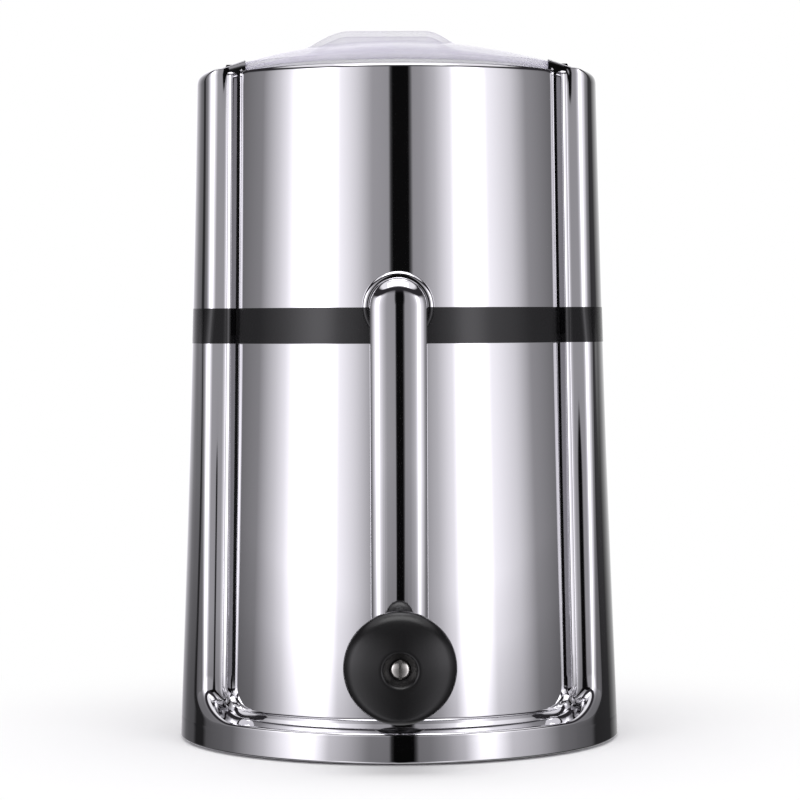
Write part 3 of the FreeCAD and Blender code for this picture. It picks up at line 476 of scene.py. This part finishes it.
def side_profile(z):
    """Plan of one side of a window at a height, as (x, y) pairs from the pillar's skin in to the panel."""
    skin = body_radius(z)
    floor = floor_depth(z)
    turn = 3.3 + 0.0105 * z
    centre = rounding_middle(z) - 0.466 * turn
    across = floor - turn
    edge = 72.7 - 0.0142 * z
    points = [(edge, math.sqrt(skin ** 2 - edge ** 2))]
    steep = (centre + turn * math.sin(math.radians(57)), across + turn * math.cos(math.radians(57)))
    for share in (0.35, 0.7):
        bulge = 0.10 * math.sin(math.pi * share)
        points.append((edge + (steep[0] - edge) * share + bulge,
                       points[0][1] + (steep[1] - points[0][1]) * share + bulge))
    points += [(centre + turn * math.sin(math.radians(t)), across + turn * math.cos(math.radians(t)))
               for t in [57 - 53 * k / 12 for k in range(13)]]
    crest = bead_crest(z)
    panel = skin - PANEL_INSET
    edge_x = crest - PANEL_EDGE
    panel_y = math.sqrt(panel ** 2 - edge_x ** 2)
    spread = 1.5 - 0.5 * z / SHELF_Z
    outer, inner = bead_side(BEAD_OUT, spread), bead_side(BEAD_IN, spread)
    crest_y = panel_y + BEAD_LIFT
    groove_y = crest_y - inner[-1][1] - GROOVE_DROP
    shoulder_x, shoulder_y = crest + outer[-1][0], crest_y - outer[-1][1]
    # The channel's floor leans out towards the panel. Low down and at the top its inner part is level.
    x0, y = points[-1]
    width, last = x0 - shoulder_x - 0.5, 0.0
    low, high = min(1.0, max(0.0, (135.0 - z) / 35.0)), min(1.0, max(0.0, (z - 224.0) / 12.0))
    for share, lean in ((0.12, 4.6), (0.30, 5.0), (0.45, 4.5 - 4.9 * low), (0.60, 4.5 - 4.9 * max(low, high)),
                        (0.80, 4.6 - 5.0 * high), (1.0, 5.2 - 5.0 * high)):
        y += width * (share - last) * math.tan(math.radians(lean))
        last = share
        points.append((x0 - width * share, y))
    points.append((shoulder_x + 0.12, y + 0.12))
    points.append((shoulder_x + 0.03, y + 0.5))
    points.append((shoulder_x, (y + 0.5 + shoulder_y) / 2))
    points += [(crest + d, crest_y - drop) for d, drop in reversed(outer)]
    points.append((crest, crest_y))
    points += [(crest - d, crest_y - drop) for d, drop in inner]
    points += [(crest - d, groove_y) for d in (2.10, 2.6, PANEL_EDGE - 0.03)]
    points.append((edge_x + 0.01, panel_y - 0.3))
    points.append((edge_x, panel_y))
    return points


def foot_profile():
    """Section of the window's lower edge, as (inset, height) pairs with one for each side point."""
    top_round, plinth, edge = 0.8, 12.0, 1.5
    rows = [(0.0, LEDGE_Z - top_round - drop) for drop in (1.6, 1.0, 0.5)]
    for k in range(13):
        t = math.radians(90 * k / 12)
        rows.append((top_round * (1 - math.cos(t)), LEDGE_Z - top_round + top_round * math.sin(t)))
    for k in range(1, 7):
        rows.append((top_round + (plinth - 0.6 - top_round) * k / 6, LEDGE_Z))
    rows += [(plinth - 0.12, LEDGE_Z + 0.12), (plinth, LEDGE_Z + 0.7), (plinth, LEDGE_Z + 1.8)]
    lift = LEDGE_Z + 2.7
    for k in range(9):
        rows.append((plinth - (plinth - PANEL_INSET - edge) * k / 8, lift))
    for k in range(1, 11):
        t = math.radians(90 * k / 10)
        rows.append((PANEL_INSET + edge - edge * math.sin(t), lift + edge * (1 - math.cos(t))))
    return rows + [(PANEL_INSET, lift + edge + 0.1), (PANEL_INSET, lift + edge + 0.25)]


def corner_radius(k, count):
    """Radius in which a column turns in to the foot, wider for the pillar's own edge."""
    return 10.5 if k <= LAND_START else 10.5 - 4.0 * (k - LAND_START) / (count - LAND_START)


def window_rows(low, tops, steps, has_foot):
    """One side of a window as rows of (x, distance from the middle plane, z), from its top to its foot."""
    rows = []
    feet = foot_profile()
    count = len(feet)
    for i in range(steps + 1):
        row = []
        for k in range(count):
            bottom = feet[k][1] + corner_radius(k, count) if has_foot else low
            z = tops[k] + (bottom - tops[k]) * i / steps
            row.append((*side_profile(z)[k], z))
        rows.append(row)
    if not has_foot:
        return rows
    for i in range(1, CORNER_STEPS + 1):
        alpha = math.radians(90 * i / CORNER_STEPS)
        row = []
        for k in range(count):
            x0, y0, z0 = rows[steps][k]
            inset0 = body_radius(z0) - math.hypot(x0, y0)
            inset = inset0 + (feet[k][0] - inset0) * smooth_step(math.sin(alpha / 2) / math.sin(math.pi / 4))
            x = x0 - corner_radius(k, count) * (1 - math.cos(alpha))
            z = z0 - corner_radius(k, count) * math.sin(alpha)
            row.append((x, math.sqrt((body_radius(z) - inset) ** 2 - x * x), z))
        rows.append(row)
    return rows


class Grid:
    """Collects vertices and quads of a shell's outer skin."""

    def __init__(self):
        self.verts, self.faces = [], []

    def add(self, rows):
        base, width = len(self.verts), len(rows[0])
        for row in rows:
            self.verts += row
        for i in range(len(rows) - 1):
            for k in range(width - 1):
                a = base + i * width + k
                self.faces.append((a, a + 1, a + width + 1, a + width))


def pillar_arc(x, y, z, side):
    """Points at one height round a pillar, from its front edge at (x, -y) to its back edge."""
    turn, radius = math.atan2(y, x), math.hypot(x, y)
    turns = [turn * (1 - 2 * j / PILLAR_STEPS) for j in range(PILLAR_STEPS + 1)]
    return [(side * radius * math.cos(t), -radius * math.sin(t), z) for t in turns]


def panel_arc(x, radius, z, face):
    """Points at one height across a window, on a circle round the axis."""
    return [(s * x, face * math.sqrt(radius ** 2 - (s * x) ** 2), z) for s in ACROSS]


def base_ring(x, y, z):
    """The ring below windows and pillars, down to the eased lower edge and in to the floor plate."""
    turn, radius = math.atan2(y, x), math.hypot(x, y)
    right_pillar = [-turn + 2 * turn * j / PILLAR_STEPS for j in range(PILLAR_STEPS + 1)]
    angles = right_pillar + [math.acos(max(-1, min(1, s * -x / radius))) for s in ACROSS[1:]]
    angles += [math.pi - a for a in right_pillar[-2::-1]]
    angles += [2 * math.pi - math.acos(max(-1, min(1, s * x / radius))) for s in ACROSS[1:]]
    section = [(body_radius(level), level) for level in (z, z - 1.5, 6.0, 3.4, 2.0)]
    for k in range(1, 6):
        t = math.radians(90 * k / 5)
        section.append((body_radius(FOOT_Z) - FOOT_EASE * (1 - math.cos(t)),
                        FOOT_Z + FOOT_EASE - FOOT_EASE * math.sin(t)))
    section.append((FOOT_INNER, FOOT_Z))
    return [[(r * math.cos(a), r * math.sin(a), level) for a in angles] for r, level in section]


def windowed_skin(low, high, steps, has_foot, panels=("front", "back"), pillar_high=None):
    """The outer skin between two heights: pillars, window edges, panels and, at the foot, the base ring."""
    grid = Grid()
    tops = [pillar_high or high] * LAND_END + [high] * (len(foot_profile()) - LAND_END)
    rows = window_rows(low, tops, steps, has_foot)
    for face in (-1, 1):
        for side in (-1, 1):
            grid.add([[(side * x, face * y, z) for x, y, z in row] for row in rows])
        if has_foot:
            grid.add([panel_arc(x, math.hypot(x, y), z, face) for x, y, z in rows[-1]])
        if ("front" if face < 0 else "back") in panels:
            edge = [row[-1] for row in rows]
            grid.add([panel_arc(x, body_radius(z) - PANEL_INSET, z, face) for x, y, z in edge])
    for side in (-1, 1):
        grid.add([pillar_arc(*row[0], side) for row in rows])
    if has_foot:
        grid.add(base_ring(*rows[-1][0]))
    return grid


def plating():
    """Bright plating over plastic: a mirror with a faint ripple and a breath of haze."""
    material, tree = new_material("mirror plating")
    place = tree.node("ShaderNodeTexCoord").outputs["Object"]
    ripple = tree.node("ShaderNodeTexNoise", {"Vector": place, "Scale": 22.0, "Detail": 1.0})
    peel = tree.node("ShaderNodeTexNoise", {"Vector": place, "Scale": 260.0, "Detail": 2.0})
    smear = tree.node("ShaderNodeTexNoise", {"Vector": place, "Scale": 35.0, "Detail": 5.0, "Roughness": 0.7})
    height = tree.math("MULTIPLY_ADD", peel.outputs["Fac"], 0.02, ripple.outputs["Fac"])
    haze = tree.ramp(smear.outputs["Fac"], [(0.50, (0, 0, 0)), (0.78, (1, 1, 1))])
    relief = tree.node("ShaderNodeBump", {"Height": height, "Strength": 0.03, "Distance": 0.0004})
    shader = tree.node("ShaderNodeBsdfPrincipled", {"Base Color": (0.80, 0.795, 0.815, 1.0), "Metallic": 1.0,
                                                    "Roughness": tree.math("MULTIPLY_ADD", haze, 0.03, 0.035),
                                                    "Normal": relief.outputs[0]})
    tree.node("ShaderNodeOutputMaterial", {0: shader.outputs[0]})
    return material


plated = plating()


def walled(skin, thickness):
    """Gives an open skin its wall on the inside."""
    wall = skin.modifiers.new("wall", "SOLIDIFY")
    wall.thickness, wall.offset, wall.use_even_offset = thickness * MM, -1.0, False
    applied(skin)


def add_form(piece, verts, faces, material):
    """Joins one more closed form into a piece that has its wall already."""
    more = built(piece.name + "_more", verts, faces, material, sharp=38)
    bm = bmesh.new()
    bm.from_mesh(piece.data)
    bm.from_mesh(more.data)
    bm.to_mesh(piece.data)
    bm.free()
    bpy.data.objects.remove(more)


def post_forms(low, high):
    """The four screw posts inside the pillars."""
    profile = [(0.0, low), (POST_RADIUS, low), (POST_RADIUS, high), (0.0, high)]
    return [lathe(profile, (x, y, 0), "Z", 24) for x in (-POST_X, POST_X) for y in (-POST_Y, POST_Y)]


def shell_piece(name, grid, extras, replaced):
    """Gives a skin its wall, adds what is moulded on it, and sets it on the housing."""
    skin = built(name, grid.verts, grid.faces, plated)
    walled(skin, SHELL_WALL)
    skin.data.shade_smooth()
    skin.data.set_sharp_from_angle(angle=math.radians(23))
    for verts, faces in extras:
        add_form(skin, verts, faces, plated)
    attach(skin, "housing")
    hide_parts(replaced)


lower_grid = windowed_skin(FOOT_Z, BAND_LOW, 26, True, panels=("front",))
# The narrow frame of panel that is left round the drawer's opening at the back
DRAWER_FRAME = 0.45
frame_rows = []
for row in window_rows(FOOT_Z, [BAND_LOW] * len(foot_profile()), 26, True):
    x, y, z = row[-1]
    inner_x, radius = x - DRAWER_FRAME, body_radius(z) - PANEL_INSET
    frame_rows.append([(x, y, z), (inner_x, math.sqrt(radius ** 2 - inner_x ** 2), z)])
for side in (-1, 1):
    lower_grid.add([[(side * x, y, z) for x, y, z in row] for row in frame_rows])
shell_piece("lower_shell_plated", lower_grid, post_forms(20.0, BAND_LOW), "lower_shell")
screws("tie_screw_set", (3.4, 2.9, 1.5, 38.0), 2 * POST_X, 2 * POST_Y, (0, 0, 133.5), (180, 0, 0), "housing",
       "tie_screws")

# Middle band
# A black moulded ring between the two shells, flush with both. It carries the lower half of the bearing
# ring in front, and inside it a lip for the crusher frame.
BOSS_FRONT, BOSS_RADIUS, BOSS_BORE = -71.1, 12.4, 9.1
BAND_WALL, LIP_INNER, LIP_OUTER, LIP_HIGH = 3.0, 51.0, 66.0, 3.0
band_black = moulded("black band plastic", (0.0050, 0.0048, 0.0055), 0.17, 0.04, 0.05, 2600.0)
band_grid = windowed_skin(BAND_LOW, BAND_HIGH, 2, False)
band = built("middle_band_black", band_grid.verts, band_grid.faces, band_black)
walled(band, BAND_WALL)
band.data.shade_smooth()
band.data.set_sharp_from_angle(angle=math.radians(38))


def ring_form(inner, outer, low, high):
    """A plain flat ring round the body's axis."""
    profile = [(inner, low), (outer, low), (outer, high), (inner, high), (inner, low)]
    return lathe(profile, (0, 0, 0), "Z", 96)


def boss_form(upper):
    """Half of the ring round the crank's hub, with its eased front rim."""
    profile = [(BOSS_BORE, 9.0), (BOSS_BORE, 1.0), (BOSS_BORE + 0.35, 0.25), (BOSS_BORE + 0.9, 0.0),
               (BOSS_RADIUS - 1.4, 0.0), (BOSS_RADIUS - 0.8, 0.12), (BOSS_RADIUS - 0.35, 0.45),
               (BOSS_RADIUS - 0.08, 1.0), (BOSS_RADIUS, 1.6), (BOSS_RADIUS, 9.0), (BOSS_BORE, 9.0)]
    steps, count = 48, len(profile)
    sweep = (0.0, 180.0) if upper else (180.0, 360.0)
    verts, faces = lathe(profile, (0, BOSS_FRONT, BAND_HIGH), "Y", steps, sweep)
    faces.append(tuple(range(count - 1)))
    faces.append(tuple(range(steps * count, (steps + 1) * count - 1))[::-1])
    return verts, faces


add_form(band, *boss_form(False), band_black)
add_form(band, *ring_form(LIP_INNER, LIP_OUTER, BAND_LOW, BAND_LOW + LIP_HIGH), band_black)
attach(band, "housing")
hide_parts("middle_band")

# Crusher frame, bearings and combs
# A black moulded throat on a round deck that four screws hold to the band's lip, two turned bronze bearing
# sleeves in its walls, and two stamped steel combs screwed to its sides.
frame_black = moulded("frame plastic", (0.035, 0.035, 0.038), 0.46, 0.12, 0.35, 2000.0)
finish_node("crusher_frame", frame_black)
bronze = metal("bearing bronze", (0.60, 0.42, 0.22), 0.33, 0.08, (120.0, 2500.0, 120.0), 0.10)
for name in ("front_bushing", "rear_bushing"):
    finish_node(name, bronze)
stainless = metal("stamped stainless steel", (0.58, 0.585, 0.60), 0.24, 0.07, (90.0, 3000.0, 1200.0), 0.08)
for name in ("left_comb", "right_comb"):
    finish_node(name, stainless)
FRAME_SCREW_CIRCLE = 55.0
FRAME_SCREW_SPAN = 2 * FRAME_SCREW_CIRCLE / math.sqrt(2)
screws("frame_screw_set", (2.6, 1.9, 1.3, 5.0), FRAME_SCREW_SPAN, FRAME_SCREW_SPAN, (0, 0, 149.5), (0, 0, 0),
       "housing", "frame_screws")
finish_node("comb_screws", zinc)

# Rotor
# A square steel shaft carries five toothed blades, each turned a step further, with sleeves between them,
# and is held at the back by a washer and a spring clip.
finish_node("rotor_shaft", stainless)
for k in range(1, 7):
    finish_node("rotor_sleeve_%d" % k, zinc)
for name in ("shaft_washer", "shaft_clip"):
    finish_node(name, zinc)
for k in range(1, 6):
    finish_node("rotor_blade_%d" % k, stainless)

# Hopper
# A grey moulded funnel that leads the ice from the round mouth down to the throat. Its flange meets the
# upper shell under the lid's seat.
finish_node("hopper", moulded("hopper plastic", (0.30, 0.30, 0.33), 0.40, 0.10, 0.25, 2200.0))

# Upper shell
# The same plated form above the band, moulded with the upper half of the bearing ring and with a crown
# whose two sloping ends stand round the lid. Long screws through the band draw it to the lower shell.
CAP_RISE, CROWN_FOOT, CROWN_EDGE, SEAT_RADIUS = 1.8, 236.0, 0.5, 60.4
SHOULDER_Z, SHOULDER_RISE, SHOULDER_DEPTH, CROWN_SLOPE = 237.0, 4.2, 4.6, 2.8
SEAT_INNER, SEAT_OUTER, SEAT_LOW, SHELF_REACH = 54.0, 61.0, 238.0, 0.86


def crown_height(radius):
    """Height of a pillar's top at a distance from the axis: a round shoulder, then a slope up to the lid."""
    skin = body_radius(CROWN_FOOT)
    inset = skin - radius
    if inset < SHOULDER_DEPTH:
        share = 1 - max(inset, 0.0) / SHOULDER_DEPTH
        return SHOULDER_Z + SHOULDER_RISE * math.sqrt(max(0.0, 1 - share ** 2))
    share = (inset - SHOULDER_DEPTH) / (skin - SHOULDER_DEPTH - SEAT_RADIUS)
    return SHOULDER_Z + SHOULDER_RISE + CROWN_SLOPE * share


def crown_rows():
    """Columns of half a pillar's end, from its skin in to the lid's seat: side wall, then eased edge."""
    outline = [(*side_profile(CROWN_FOOT)[k], CROWN_FOOT) for k in range(LAND_END)]
    z = SHELF_Z - CAP_RISE
    outline.append((*side_profile(z)[LAND_END], z))
    wall_y = outline[-1][1]
    outer = math.hypot(outline[-1][0], wall_y)
    for k in range(1, 7):
        radius = outer + (SEAT_RADIUS - outer) * k / 6
        outline.append((math.sqrt(radius ** 2 - wall_y ** 2), wall_y, z))
    walls = []
    for k, (x, y, low) in enumerate(outline):
        before, after = outline[max(k - 1, 0)], outline[min(k + 1, len(outline) - 1)]
        across, along = after[1] - before[1], before[0] - after[0]
        size = math.hypot(across, along)
        column = [(x, y, low), (x, y, 0.35 * low + 0.65 * (crown_height(math.hypot(x, y)) - CROWN_EDGE))]
        for t in (0, 30, 60, 90):
            inwards = CROWN_EDGE * (1 - math.cos(math.radians(t)))
            down = CROWN_EDGE * (1 - math.sin(math.radians(t)))
            ex, ey = x - across / size * inwards, y - along / size * inwards
            column.append((ex, ey, crown_height(math.hypot(ex, ey)) - down))
        walls.append(column)
    return walls


def add_crowns(grid):
    """Closes the pillars' upper ends, with their tops drawn in to a level rim at the lid's seat."""
    columns = crown_rows()
    edge_points = columns[0] + [column[-1] for column in columns[1:]]
    for side in (-1, 1):
        for face in (-1, 1):
            grid.add([[(side * x, face * y, z) for x, y, z in row] for row in zip(*columns)])
        top = [pillar_arc(*point, side) for point in edge_points]
        top.append([(x, y, SHELF_Z) for x, y, z in top[-1]])
        grid.add(top)


def add_caps(grid):
    """Rounded top ends of the beads, closed back to the channels' floors."""
    z0 = SHELF_Z - CAP_RISE
    profile = side_profile(z0)[LAND_END:]
    wall_y, (edge_x, panel_y) = profile[0][1], profile[-1]
    rows = []
    for t in range(0, 91, 15):
        c, level = math.cos(math.radians(t)), z0 + CAP_RISE * math.sin(math.radians(t))
        radius = body_radius(level) - PANEL_INSET - CAP_RISE * (1 - c)
        lip_y = math.sqrt(radius ** 2 - edge_x ** 2)
        row = []
        for k, (x, y) in enumerate(profile):
            if k == 0:
                row.append((x, y, level))
            else:
                row.append((x, lip_y + (y - panel_y) * (c if y > panel_y else 1.0), level))
        rows.append(row)
    rows.append([(x, wall_y - 0.3, z) for x, y, z in rows[-1]])
    for face in (-1, 1):
        for side in (-1, 1):
            grid.add([[(side * x, face * y, z) for x, y, z in row] for row in rows])


def panel_lip(face):
    """The rounded top edge of a panel, rolling in to the shelf under the lid."""
    z0 = SHELF_Z - CAP_RISE
    x = side_profile(z0)[-1][0]
    rows = []
    for t in range(0, 91, 15):
        level = z0 + CAP_RISE * math.sin(math.radians(t))
        radius = body_radius(level) - PANEL_INSET - CAP_RISE * (1 - math.cos(math.radians(t)))
        rows.append(panel_arc(x, radius, level, face))
    rows.append([(px * SHELF_REACH, py * SHELF_REACH, pz) for px, py, pz in rows[-1]])
    return rows


upper_grid = windowed_skin(BAND_HIGH, SHELF_Z - CAP_RISE, 22, False, pillar_high=CROWN_FOOT)
add_crowns(upper_grid)
add_caps(upper_grid)
for face in (-1, 1):
    upper_grid.add(panel_lip(face))
seat_ring = ring_form(SEAT_INNER, SEAT_OUTER, SEAT_LOW, SHELF_Z - 0.02)
shell_piece("upper_shell_plated", upper_grid,
            post_forms(BAND_HIGH, BAND_HIGH + 34.0) + [boss_form(True), seat_ring], "upper_shell")

# Ice drawer
# A clear moulded cup that catches the ice, with a plated curved front that four screws hold from inside.
# It slides out at the back on the floor plate's rails.


def clear_plastic():
    material, tree = new_material("clear cup plastic")
    place = tree.node("ShaderNodeTexCoord").outputs["Object"]
    flow = tree.node("ShaderNodeTexNoise", {"Vector": place, "Scale": 45.0, "Detail": 2.0}).outputs["Fac"]
    relief = tree.node("ShaderNodeBump", {"Height": flow, "Strength": 0.06, "Distance": 0.0005})
    rough = tree.math("MULTIPLY_ADD", flow, 0.03, 0.03)
    shader = tree.node("ShaderNodeBsdfPrincipled", {"Base Color": (0.95, 0.965, 0.975, 1.0), "IOR": 1.49,
                                                    "Transmission Weight": 1.0, "Roughness": rough,
                                                    "Normal": relief.outputs[0]})
    tree.node("ShaderNodeOutputMaterial", {0: shader.outputs[0]})
    return material


finish_node("ice_cup", clear_plastic())
finish_node("container_front", plated)
finish_node("container_screws", zinc)

# Crank arm
# A plated bar, flat along the middle and rounded over to its sides and round both ends. Its hub sits on the
# shaft's square end inside the bearing ring, locked by a cross pin.
ARM_FRONT, ARM_BACK, ARM_TOP, ARM_LOW, ARM_HALF = -82.03, -72.28, 156.0, 36.0, 9.75
KNOB_SEAT_RADIUS, KNOB_SEAT_Y = 9.1, -79.83
HUB_RADIUS, HUB_START, HUB_EASE, HUB_END = 8.7, -72.4, -66.6, -66.08
# Slope of the bar's front in degrees at a distance from its middle line in millimetres
ARM_SLOPES = ((0.0, 0.0), (1.25, 3.2), (2.9, 5.7), (4.2, 8.5), (5.1, 10.4), (5.8, 12.8), (6.3, 16.0),
              (6.8, 21.0), (7.3, 27.0), (7.7, 32.0), (8.0, 36.0), (8.4, 40.0), (8.7, 43.0), (9.05, 47.0),
              (9.35, 54.0), (9.55, 64.0), (9.68, 76.0), (ARM_HALF, 86.0))


def stadium(radius, y):
    """Outline of the bar at a distance from its middle line."""
    points = []
    for centre, start in ((ARM_TOP, 0), (ARM_LOW, 180)):
        for k in range(25):
            t = math.radians(start + 180 * k / 24)
            points.append((radius * math.cos(t), y, centre + radius * math.sin(t)))
    return points + points[:1]


def arm_grid():
    grid = Grid()
    rows, y, last = [stadium(0.0, ARM_FRONT)], ARM_FRONT, (0.0, 0.0)
    for distance, slope in ARM_SLOPES[1:]:
        y += (distance - last[0]) * math.tan(math.radians((slope + last[1]) / 2))
        rows.append(stadium(distance, y))
        last = (distance, slope)
    for share in (0.3, 0.94):
        rows.append(stadium(ARM_HALF, y + (ARM_BACK - y) * share))
    rows.append(stadium(ARM_HALF - 0.3, ARM_BACK))
    rows.append(stadium(0.0, ARM_BACK))
    grid.add(rows)
    return grid


arm_form = arm_grid()
arm = built("crank_arm_plated", arm_form.verts, arm_form.faces, plated, sharp=35)
seat = [(0.0, -90.0), (KNOB_SEAT_RADIUS, -90.0), (KNOB_SEAT_RADIUS, KNOB_SEAT_Y), (0.0, KNOB_SEAT_Y)]
cut_out(arm, built("seat cutter", *lathe(seat, (0, 0, ARM_LOW), "Y", 64), plated))
hub = [(0.0, HUB_START), (HUB_RADIUS, HUB_START), (HUB_RADIUS, HUB_EASE), (HUB_RADIUS - 0.5, HUB_END),
       (0.0, HUB_END)]
add_form(arm, *lathe(hub, (0, 0, ARM_TOP), "Y", 48), plated)
arm.data.set_sharp_from_angle(angle=math.radians(35))
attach(arm, "crank")
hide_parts("crank_arm")
finish_node("hub_pin", zinc)

# Knob
# A black moulded mushroom knob over a plain washer. It turns on a sunk shouldered screw of bright steel
# with a straight slot, which is set in the arm's lower end.
SHANK_RADIUS, SHANK_START = 2.0, -73.83
HEAD_RADIUS, HEAD_START, DOME_START, DOME_RISE = 3.35, -105.25, -105.85, 1.0
SLOT_HALF, SLOT_FLOOR = 0.45, -106.0
# The knob as radius and place along its axis: the bore, then round the outside and into the screw's well
KNOB_PROFILE = [(2.06, -105.1), (2.06, -80.8), (8.3, -80.8), (8.5, -81.1), (8.15, -83.0), (7.75, -85.5),
                (7.6, -87.8), (7.75, -90.2), (8.4, -92.2), (9.6, -93.6), (11.2, -94.3), (13.2, -94.8),
                (15.2, -95.4), (16.8, -96.3), (18.0, -97.5), (18.7, -99.0), (19.0, -100.6)]
KNOB_PROFILE += [(14.0 + 5.0 * math.cos(math.radians(t)), -101.7 - 5.0 * math.sin(math.radians(t)))
                 for t in range(0, 67, 6)]
KNOB_PROFILE += [(15.2, -106.62), (13.8, -107.18), (12.2, -107.72), (10.5, -108.22), (8.8, -108.66),
                 (7.4, -108.98), (6.7, -109.12), (6.25, -109.1), (5.9, -108.85), (5.4, -108.2),
                 (4.8, -107.4), (4.2, -106.6), (3.75, -106.1), (3.55, -105.9), (3.55, -105.1),
                 (2.06, -105.1)]
knob_black = moulded("knob plastic", (0.0050, 0.0048, 0.0052), 0.30, 0.05, 0.10, 2600.0)
knob = built("knob_black", *lathe(KNOB_PROFILE, (0, 0, ARM_LOW), "Y", 96), knob_black, sharp=50)
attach(knob, "knob")
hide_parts("knob")
finish_node("knob_washer", zinc)
screw_bright = metal("bright screw steel", (0.72, 0.70, 0.66), 0.22, 0.06, (400.0, 400.0, 400.0), 0.05)
bolt = [(0.0, SHANK_START), (SHANK_RADIUS - 0.3, SHANK_START), (SHANK_RADIUS, SHANK_START - 0.37),
        (SHANK_RADIUS, HEAD_START), (HEAD_RADIUS, HEAD_START), (HEAD_RADIUS, DOME_START)]
bolt += [(HEAD_RADIUS * math.cos(math.radians(t)), DOME_START - DOME_RISE * math.sin(math.radians(t)))
         for t in range(15, 90, 15)]
bolt.append((0.0, DOME_START - DOME_RISE))
knob_bolt = built("knob_screw_bright", *lathe(bolt, (0, 0, ARM_LOW), "Y", 48), screw_bright, sharp=40)
cut_out(knob_bolt, block("slot cutter", (-SLOT_HALF, -108, ARM_LOW - 5), (SLOT_HALF, SLOT_FLOOR, ARM_LOW + 5),
                         screw_bright))
knob_bolt.data.set_sharp_from_angle(angle=math.radians(40))
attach(knob_bolt, "crank")
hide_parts("knob_screw")

# Lid
# A clear moulded dome with a faint lilac tint and a raised grip. It rests loose on the upper shell's seat,
# located in the mouth by a short plug.
LID_RADIUS, LID_EDGE, LID_APEX, GRIP_TOP, LID_WALL = 60.0, 243.4, 252.4, 255.8, 2.0
PLUG_INNER, PLUG_OUTER, PLUG_LOW, RIM_LOW = 51.4, 53.4, 238.1, 240.32
# The grip at its foot and at its flat top: lowest x, highest x, half its depth
GRIP_FOOT, GRIP_FLAT = (-34.0, 22.0, 20.0), (-17.0, 10.5, 11.0)


def lid_height(x, y):
    """Height of the lid's top: a shallow dome with a raised grip that blends into it."""
    radius = math.hypot(x, y)
    dome = LID_APEX - (LID_APEX - LID_EDGE) * (radius / LID_RADIUS) ** 2
    low_x, high_x, half_y = GRIP_FOOT
    flat_low, flat_high, flat_y = GRIP_FLAT
    outside = max(0.0, (flat_low - x) / (flat_low - low_x), (x - flat_high) / (high_x - flat_high))
    outside = math.hypot(outside, max(0.0, (abs(y) - flat_y) / (half_y - flat_y)))
    lift = smooth_step(max(0.0, 1 - outside)) ** 0.8
    return dome + (GRIP_TOP - dome) * lift


def lid_rows(rings, spokes):
    """The lid's top as rings of points from its middle out to its eased edge."""
    rows = []
    for j in range(rings + 1):
        radius = LID_RADIUS * j / rings - (0.5 if j == rings else 0)
        turns = [2 * math.pi * k / spokes for k in range(spokes + 1)]
        places = [(radius * math.cos(t), radius * math.sin(t)) for t in turns]
        rows.append([(x, y, lid_height(x, y)) for x, y in places])
    return rows


def lid_plastic():
    """Clear plastic with a lilac cast that shows where it is seen edge on."""
    material, tree = new_material("clear lilac plastic")
    place = tree.node("ShaderNodeTexCoord").outputs["Object"]
    flow = tree.node("ShaderNodeTexNoise", {"Vector": place, "Scale": 40.0, "Detail": 2.0}).outputs["Fac"]
    relief = tree.node("ShaderNodeBump", {"Height": flow, "Strength": 0.05, "Distance": 0.0005})
    facing = tree.node("ShaderNodeLayerWeight", {"Blend": 0.35}).outputs["Facing"]
    alpha = tree.ramp(facing, [(share, (v, v, v)) for share, v in ((0.0, 0.06), (0.6, 0.22), (0.95, 0.68))])
    tone = tree.ramp(facing, [(0.0, (0.80, 0.78, 0.88)), (1.0, (0.42, 0.37, 0.58))])
    shader = tree.node("ShaderNodeBsdfPrincipled", {"Base Color": tone, "Roughness": 0.06, "IOR": 1.45,
                                                    "Alpha": alpha, "Normal": relief.outputs[0]})
    tree.node("ShaderNodeOutputMaterial", {0: shader.outputs[0]})
    return material


lilac = lid_plastic()
lid_grid = Grid()
lid_grid.add(lid_rows(60, 144))
lid = built("lid_clear", lid_grid.verts, lid_grid.faces, lilac)
walled(lid, LID_WALL)
plug = [(PLUG_INNER, PLUG_LOW), (PLUG_OUTER, PLUG_LOW), (PLUG_OUTER, RIM_LOW), (LID_RADIUS - 0.4, RIM_LOW),
        (LID_RADIUS, RIM_LOW + 0.48), (LID_RADIUS, LID_EDGE - 0.2), (LID_RADIUS - 0.6, LID_EDGE + 0.1),
        (57.0, 242.0), (PLUG_INNER, 242.2), (PLUG_INNER, PLUG_LOW)]
add_form(lid, *lathe(plug, (0, 0, 0), "Z", 144), lilac)
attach(lid, "lid")
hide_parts("lid")
